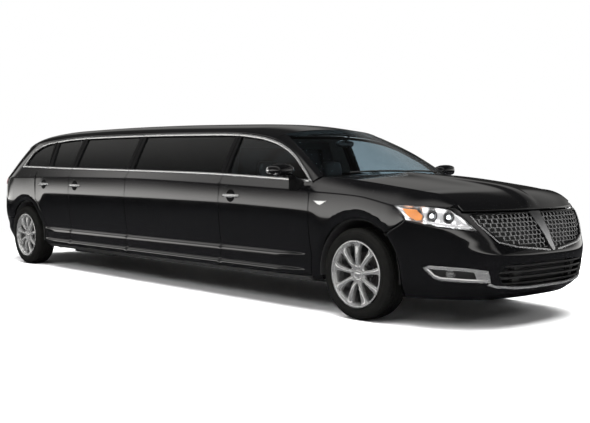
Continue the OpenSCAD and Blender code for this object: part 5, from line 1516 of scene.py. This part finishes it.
# Underside and engine bay: zinc-coated and wax-sprayed steel, a black moulded cowl, an exhaust of
# rolled steel tube, and cast parts for the suspension and engine.
under_look = drifting((3.0, 5.0), (0.012, 0.012, 0.012), (0.03, 0.03, 0.029), 0.6, 0.25, (25.0, 3.0))


def steel_look(w):
    return {"Base Color": w.noise(8.0, 4.0, (0.2, 1, 1)).mix((0.22, 0.20, 0.18, 1), (0.38, 0.36, 0.34, 1)),
            "Roughness": 0.35 + 0.2 * w.noise(30.0, 3.0)}


def cast_look(w):
    grain = w.noise(220.0, 3.0)
    return {"Base Color": w.noise(6.0, 3.0).mix((0.10, 0.10, 0.105, 1), (0.20, 0.20, 0.205, 1)),
            "Roughness": 0.5 + 0.2 * grain, "Normal": w.bump(grain, 0.25, 0.001)}


under = surface("underbody_wax", {}, under_look)
steel = surface("exhaust_steel", {"Metallic": 0.8}, steel_look)
cast = surface("cast_metal", {"Metallic": 0.5}, cast_look)
for node, mat in (("floor_pan", under), ("exhaust", steel), ("fuel_tank", satin_black), ("suspension", cast),
                  ("engine", cast), ("cowl", satin_black), ("knuckle_r", cast), ("knuckle_l", cast)):
    thing = bpy.data.objects[node]
    thing.data.materials.clear()
    thing.data.materials.append(mat)


# Engine undertray: a vacuum-formed black sheet with turned-up edges, screwed under the front of the floor
# between the wheel arches and behind the bumper's lower lip.
rows = []
for x in (2250, 2300, 2490, 2520, 2600, 2800, 3000, 3200, 3300, 3342, 3360, 3500, 3650, 3760, 3840, 3900):
    half = 800 if x <= 2490 else 515 if x <= 3300 else min(800, 940 * nose_plan(x, 240) - 40)
    under_side = [(x, half * u, 244 - 14 * (1 - u ** 8))
                  for u in (-1, -0.97, -0.9, -0.6, -0.3, 0, 0.3, 0.6, 0.9, 0.97, 1)]
    rows.append(under_side + [(x, y, z + 3) for x, y, z in under_side[::-1]])
tray = grid_mesh("engine_undertray", rows, [satin_black], angle=50)
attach(tray, "body")


# Front seats: foam pads under sewn black leather, with bolsters, sewn channels and head restraints on
# steel posts, on moulded bases. The pads are crowned between their seams in code.
def leather_look(w):
    grain = w.noise(420.0, 3.0)
    return {"Base Color": w.noise(5.0, 3.0).mix((0.014, 0.0138, 0.0135, 1), (0.03, 0.0295, 0.029, 1)),
            "Roughness": 0.42 + 0.2 * grain, "Normal": w.bump(grain, 0.3, 0.0008)}


leather = surface("black_leather", {}, leather_look)


def pad(name, section, low, high, place, mat, crown=12.0, seams=(), round_end=34.0, size=20):
    """A crowned pad: a closed section swept between two ends with rounded edges, pinched in at its seams."""
    loop = evenly(section if area(section) > 0 else section[::-1], size)
    ends = [low] + sorted(seams) + [high]
    stations = []
    for d in (0.0, 0.05, 0.16, 0.34, 0.6, 1.0):
        stations += [low + round_end * d, high - round_end * d]
    for seam in seams:
        stations += [seam + d for d in (-16, -7, -2.5, 0, 2.5, 7, 16)]
    stations += [s for s in steps(low + round_end, high - round_end, 26) if all(abs(s - m) > 20 for m in seams)]
    rows = []
    for s in sorted(set(stations)):
        near = min(s - low, high - s)
        back = round_end - math.sqrt(max(0, round_end ** 2 - max(0, round_end - near) ** 2))
        a, b = max(e for e in ends if e <= s), min([e for e in ends if e >= s and e > low] or [high])
        u = (s - a) / (b - a) if b > a else 0
        puff = crown * max(0, math.sin(math.pi * u)) ** 0.45
        rows.append([place(p[0], s, p[1]) for p in pulled_in(loop, crown + back * 0.9 - puff)])
    made = grid_mesh(name, rows, [mat], angle=70)
    return made


def seat_frame(x0, y0):
    return lambda x, s, z: (x0 + x, y0 + s, 322 + z)


CUSHION = [(24, 118), (494, 116), (546, 166), (556, 222), (534, 268), (482, 292), (400, 294), (200, 268),
           (104, 262), (20, 200)]
BACK = [(-34, 170), (70, 180), (132, 280), (66, 470), (0, 690), (-28, 722), (-76, 730), (-124, 708), (-138, 660),
        (-98, 440)]
REST = [(-32, -4), (32, -4), (50, 40), (48, 112), (26, 174), (-14, 182), (-44, 142), (-50, 60)]
FOOT = [(30, 3), (450, 3), (474, 124), (24, 126)]
for s, side in ((-1, "right"), (1, "left")):
    here = seat_frame(DOOR_F0 + 160, s * 420)
    for stem, section, half, seams, fill in (("cushion", CUSHION, 258, (-150, -50, 50, 150), 0.7),
                                             ("back", BACK, 250, (-150, -50, 50, 150), 0.7)):
        piece = pad("front_seat_" + stem + "_" + side, section, -half, half, here, leather, 13, seams)
        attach(piece, "body")
        if stem == "cushion" and side == "right":
            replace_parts(piece, "front_seats")
    rest = pad("head_restraint_" + side, REST, -128, 128, lambda x, t, z: here(x - 82, t, z + 764), leather, 8, (),
               40, 14)
    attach(rest, "body")
    foot = pad("front_seat_base_" + side, FOOT, -230, 230, here, satin_black, 1, (), 12, 60)
    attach(foot, "body")
    for k, p in enumerate((-70, 70)):
        x0, y0, z0 = here(-84, p, 680)
        post = turned("restraint_post_{}_{}".format(side, k + 1),
                      [(0, 0), (7, 0), (7.5, 30), (7, 34), (7, 118), (5, 121), (0, 121)], (x0, y0, z0), (0, 0, 1),
                      [bright], 20)
        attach(post, "body")


# Lounge seats: a rear bench and a long couch down the left side, of foam pads under black leather
# with piped seats, on upholstered plinths that are bolted to the floor.
BENCH = [(110, 66), (586, 64), (606, 120), (612, 222), (596, 278), (540, 300), (300, 288), (150, 284), (100, 220)]
BENCH_BACK = [(-2, 240), (120, 250), (222, 300), (156, 522), (98, 804), (68, 846), (10, 854), (-34, 824),
              (-40, 770), (-12, 480)]
BENCH_FOOT = [(20, 3), (560, 3), (578, 72), (20, 72)]
here = seat_frame(-2370, 0)
for stem, section, seams in (("cushion", BENCH, (-410, -206, 0, 206, 410)),
                             ("back", BENCH_BACK, (-410, -206, 0, 206, 410))):
    piece = pad("bench_" + stem, section, -622, 622, here, leather, 15, seams)
    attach(piece, "body")
    if stem == "cushion":
        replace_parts(piece, "lounge_seats")
plinth = pad("bench_plinth", BENCH_FOOT, -610, 610, here, leather, 1, (), 12, 80)
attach(plinth, "body")


def couch_frame(y, s, z):
    return (s, y, 322 + z)


COUCH = [(284, 150), (640, 170), (640, 292), (600, 296), (360, 300), (306, 282), (284, 230)]
COUCH_BACK = [(628, 240), (742, 240), (750, 640), (736, 684), (690, 698), (646, 674), (624, 320)]
COUCH_FOOT = [(316, 3), (738, 3), (738, 236), (640, 236), (316, 150)]
runs = [-1470 + 1990 * i / 8 for i in range(1, 8)]
for stem, section in (("cushion", COUCH), ("back", COUCH_BACK)):
    piece = pad("couch_" + stem, section, -1470, 520, couch_frame, leather, 12, runs)
    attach(piece, "body")
plinth = pad("couch_plinth", COUCH_FOOT, -1462, 512, couch_frame, leather, 1, (), 12, 80)
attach(plinth, "body")


# Dashboard and console: foam-backed black mouldings, screwed across the cabin and along the floor,
# with a hooded instrument cluster, a dark screen, air vents and a lidded box.
DASH = [(2359, 702), (2359, 1078), (2150, 1086), (2056, 1064), (1986, 980), (2006, 850), (2086, 758), (2210, 702)]
dash = pad("dashboard_pad", DASH, -733, 733, lambda x, s, z: (x, s, z), lining, 3, (), 30, 26)
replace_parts(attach(dash, "body"), "dashboard")
hood_rows = [((x, 390, z), (0, w, 0), (0, 0, h), 2.6)
             for x, z, w, h in ((2150, 1074, 90, 14), (2090, 1078, 178, 34), (2020, 1074, 196, 46),
                                (1990, 1070, 192, 44), (1992, 1068, 180, 34), (2040, 1060, 150, 24))]
cluster = loft("instrument_hood", hood_rows, [satin_black])
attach(cluster, "body")
screen = pad("centre_screen", [(1976, 868), (2010, 858), (2030, 1004), (1986, 1010)], -128, 128,
             lambda x, s, z: (x, s, z), satin_black, 1, (), 10, 40)
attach(screen, "body")
CONSOLE = [(1192, 323), (2190, 323), (2190, 640), (2010, 704), (1700, 640), (1560, 690), (1192, 690)]
console = pad("console", CONSOLE, -108, 108, lambda x, s, z: (x, s, z), lining, 2, (), 22, 50)
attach(console, "body")
for k, y in enumerate((-640, -210, 210, 640)):
    vent = pad("air_vent_{}".format(k + 1), [(1980, 950), (2016, 940), (2040, 1006), (2000, 1014)], y - 66, y + 66,
               lambda x, s, z: (x, s, z), dark_chrome, 1, (y - 33, y, y + 33), 8, 18)
    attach(vent, "body")


# Steering wheel: a rim sewn in leather on a frame of three arms, with a padded boss, bolted to the end
# of the column.
tilt = Vector((math.sin(math.radians(115)), 0, math.cos(math.radians(115))))
mid = Vector((1790, 390, 985))
tube = [(185 + 16 * math.cos(2 * math.pi * i / 16), 16 * math.sin(2 * math.pi * i / 16)) for i in range(16)]
rim = turned("steering_rim", tube, mid, tilt, [leather], 64, 60)
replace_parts(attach(rim, "body"), "steering_wheel")
boss = turned("steering_boss", [(0, -26), (30, -25), (54, -20), (62, -8), (62, 12), (40, 20), (27, 24), (27, 190),
                                (0, 190)], mid, tilt, [satin_black], 40)
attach(boss, "body")
side_axis, down_axis = Vector((0, 1, 0)), tilt.cross(Vector((0, 1, 0)))
for k, arm in enumerate((side_axis, -side_axis, down_axis if down_axis.z < 0 else -down_axis)):
    flank = tilt.cross(arm)
    rows = [[tuple(mid + arm * r + flank * (w * c) + tilt * (8 * d - 2)) for c, d in
             ((-1, -0.4), (-0.7, -1), (0.7, -1), (1, -0.4), (1, 0.4), (0.7, 1), (-0.7, 1), (-1, 0.4))]
            for r, w in ((46, 22), (80, 17), (120, 14), (160, 15), (184, 18))]
    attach(grid_mesh("steering_arm_{}".format(k + 1), rows, [satin_black]), "body")


# Partition: a panel covered in leather behind the front seats, screwed to floor and walls, with a dark
# sliding window in it.
wall = [(-768, 324), (768, 324), (768, 1098), (638, 1478), (-638, 1478), (-768, 1098)]
hatch = [(-600, 1080), (600, 1080), (540, 1400), (-540, 1400)]
panel = pressed("partition_panel", wall, [hatch], [(y, z) for y in steps(-760, 760, 50) for z in steps(330, 1470, 50)],
                lambda y, z, t: (964 - t, y, z), lambda y, z: (921, y, z), [leather, leather], size=40)
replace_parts(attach(panel, "body"), "partition")
pane_mid = pressed("partition_window", hatch, [], [(y, z) for y in steps(-580, 580, 80)
                                                   for z in steps(1100, 1390, 60)],
                   lambda y, z, t: (946 - t * 0.3, y, z), lambda y, z: (941, y, z), [privacy_glass, privacy_glass],
                   fold=1.0, size=60)
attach(pane_mid, "body")


# Carpet: dark tufted pile on a moulded backing, cut to the cabin floor and laid loose between the
# sills.
def carpet_look(w):
    pile = w.noise(900.0, 2.0)
    return {"Base Color": pile.mix((0.010, 0.010, 0.010, 1), (0.03, 0.029, 0.028, 1)), "Roughness": 0.85 + 0.1 * pile,
            "Normal": w.bump(pile, 0.6, 0.002)}


carpet = surface("tufted_carpet", {}, carpet_look)
rug = pressed("cabin_carpet", [(-2400, -740), (2330, -740), (2330, 740), (-2400, 740)], [],
              [(x, y) for x in steps(-2380, 2310, 120) for y in steps(-720, 720, 90)], lambda x, y, t: (x, y, 326 - t),
              lambda x, y: (x, y, 322.2), [carpet, carpet], size=100)
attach(rug, "body")


# Interior mirror: a silvered glass in a moulded black case, on a short stalk that is bonded to the
# windshield.
x0, y0, z0 = windshield_pt(0.86, 0, 8)
stalk = loft("inner_mirror_stalk", [((x0 - 2, 0, z0), (14, 0, 0), (0, 12, 0), 2),
                                    ((x0 - 26, 0, z0 - 34), (9, 0, 0), (0, 9, 0), 2),
                                    ((x0 - 52, 0, z0 - 62), (8, 0, 0), (0, 8, 0), 2)], [satin_black])
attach(stalk, "body")
case = loft("inner_mirror", [((x0 - 44 - d, 0, z0 - 72), (0, 116 * k, 0), (0, 0, 32 * k), 2.8) for d, k in
                             ((0, 0.4), (2, 0.85), (8, 1.0), (16, 1.0), (18, 0.96), (18.5, 0.05))], [satin_black])
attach(case, "body")


# Wipers: two steel arms painted black, with rubber blades, on spindles at the cowl and parked along
# the foot of the windshield.
for k, (v0, v1) in enumerate(((-0.72, 0.02), (-0.02, 0.66))):
    rows = []
    for i in range(15):
        u, v = 0.028 + 0.010 * math.sin(math.pi * i / 14), mix(v0, v1, i / 14)
        a, b = Vector(windshield_pt(u - 0.006, v, -5)), Vector(windshield_pt(u + 0.010, v, -5))
        up = (Vector(windshield_pt(u, v, -20)) - Vector(windshield_pt(u, v, 0))).normalized()
        rows.append([tuple(a), tuple(a + up * 9), tuple(b + up * 9), tuple(b)])
    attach(grid_mesh("wiper_{}".format(k + 1), rows, [satin_black]), "body")


# Wheel-arch liners: tubs moulded in black plastic over each wheel, clipped to the fenders and to the
# inner body.
for end, x0, wall in (("front", FRONT_X, -478), ("rear", REAR_X, -652)):
    rows = []
    for i in range(33):
        a = math.radians(mix(-6, 186, i / 32))
        rows.append([(x0 + r * math.cos(a), y, AXLE_Z + r * math.sin(a))
                     for r, y in ((433, -914), (433, wall + 8), (428, wall), (150, wall), (150, wall - 4),
                                  (424, wall - 4), (429, wall - 8), (429, -914))])
    on_both(grid_mesh(end + "_arch_liner_right", rows, [under], angle=40), end + "_arch_liner", None, "body")


# Door armrests: foam shelves covered in leather, screwed to the inner door skins, each with a bright
# metal pull.
for stem, x0, x1, z0 in (("front", 1330, 2020, 700), ("middle", -1560, -800, 720), ("rear", -2260, -1880, 730)):
    shelf = pad(stem + "_armrest_right", [(-2, 0), (50, 8), (64, 34), (56, 58), (-2, 66)], x0, x1,
                lambda y, s, z: (s, side_lining(s, 740)[1] + y, z0 + z), leather, 5, (), 26, 14)
    for piece in on_both(shelf, stem + "_armrest", None, "door_" + stem + "_{}"):
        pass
    rows = []
    for i in range(13):
        s = i / 6 - 1
        stand = 5 + 26 * (1 - abs(s) ** 4)
        rows.append([(mix(x0, x1, 0.82) + 70 * s, side_lining(mix(x0, x1, 0.82), 850)[1] + stand + 5 * math.sin(r),
                      850 + 9 * math.cos(r)) for r in [k * math.pi / 5 for k in range(10)]])
    on_both(grid_mesh(stem + "_door_pull_right", rows, [bright], angle=60), stem + "_door_pull", None,
            "door_" + stem + "_{}")


# Lamp corner fillers: small plastic mouldings, painted as the body is, clipped in to close the gap
# between headlamp, bonnet and bumper.
corner_gap = [(3702, 903), (3716, 899.5), (3778, 854.5), (3794, 864), (3774, 890), (3744, 906)]
filler = pressed("lamp_corner_filler_right", corner_gap, [],
                 [(x, z) for x in steps(3710, 3790, 10) for z in steps(860, 904, 10)],
                 lambda x, z, t: lamp_skin(x, z, 5 + t), lambda x, z: lamp_skin(x, z, 12), [paint, satin_black],
                 fold=2.0, size=8)
on_both(filler, "lamp_corner_filler", None, "body")
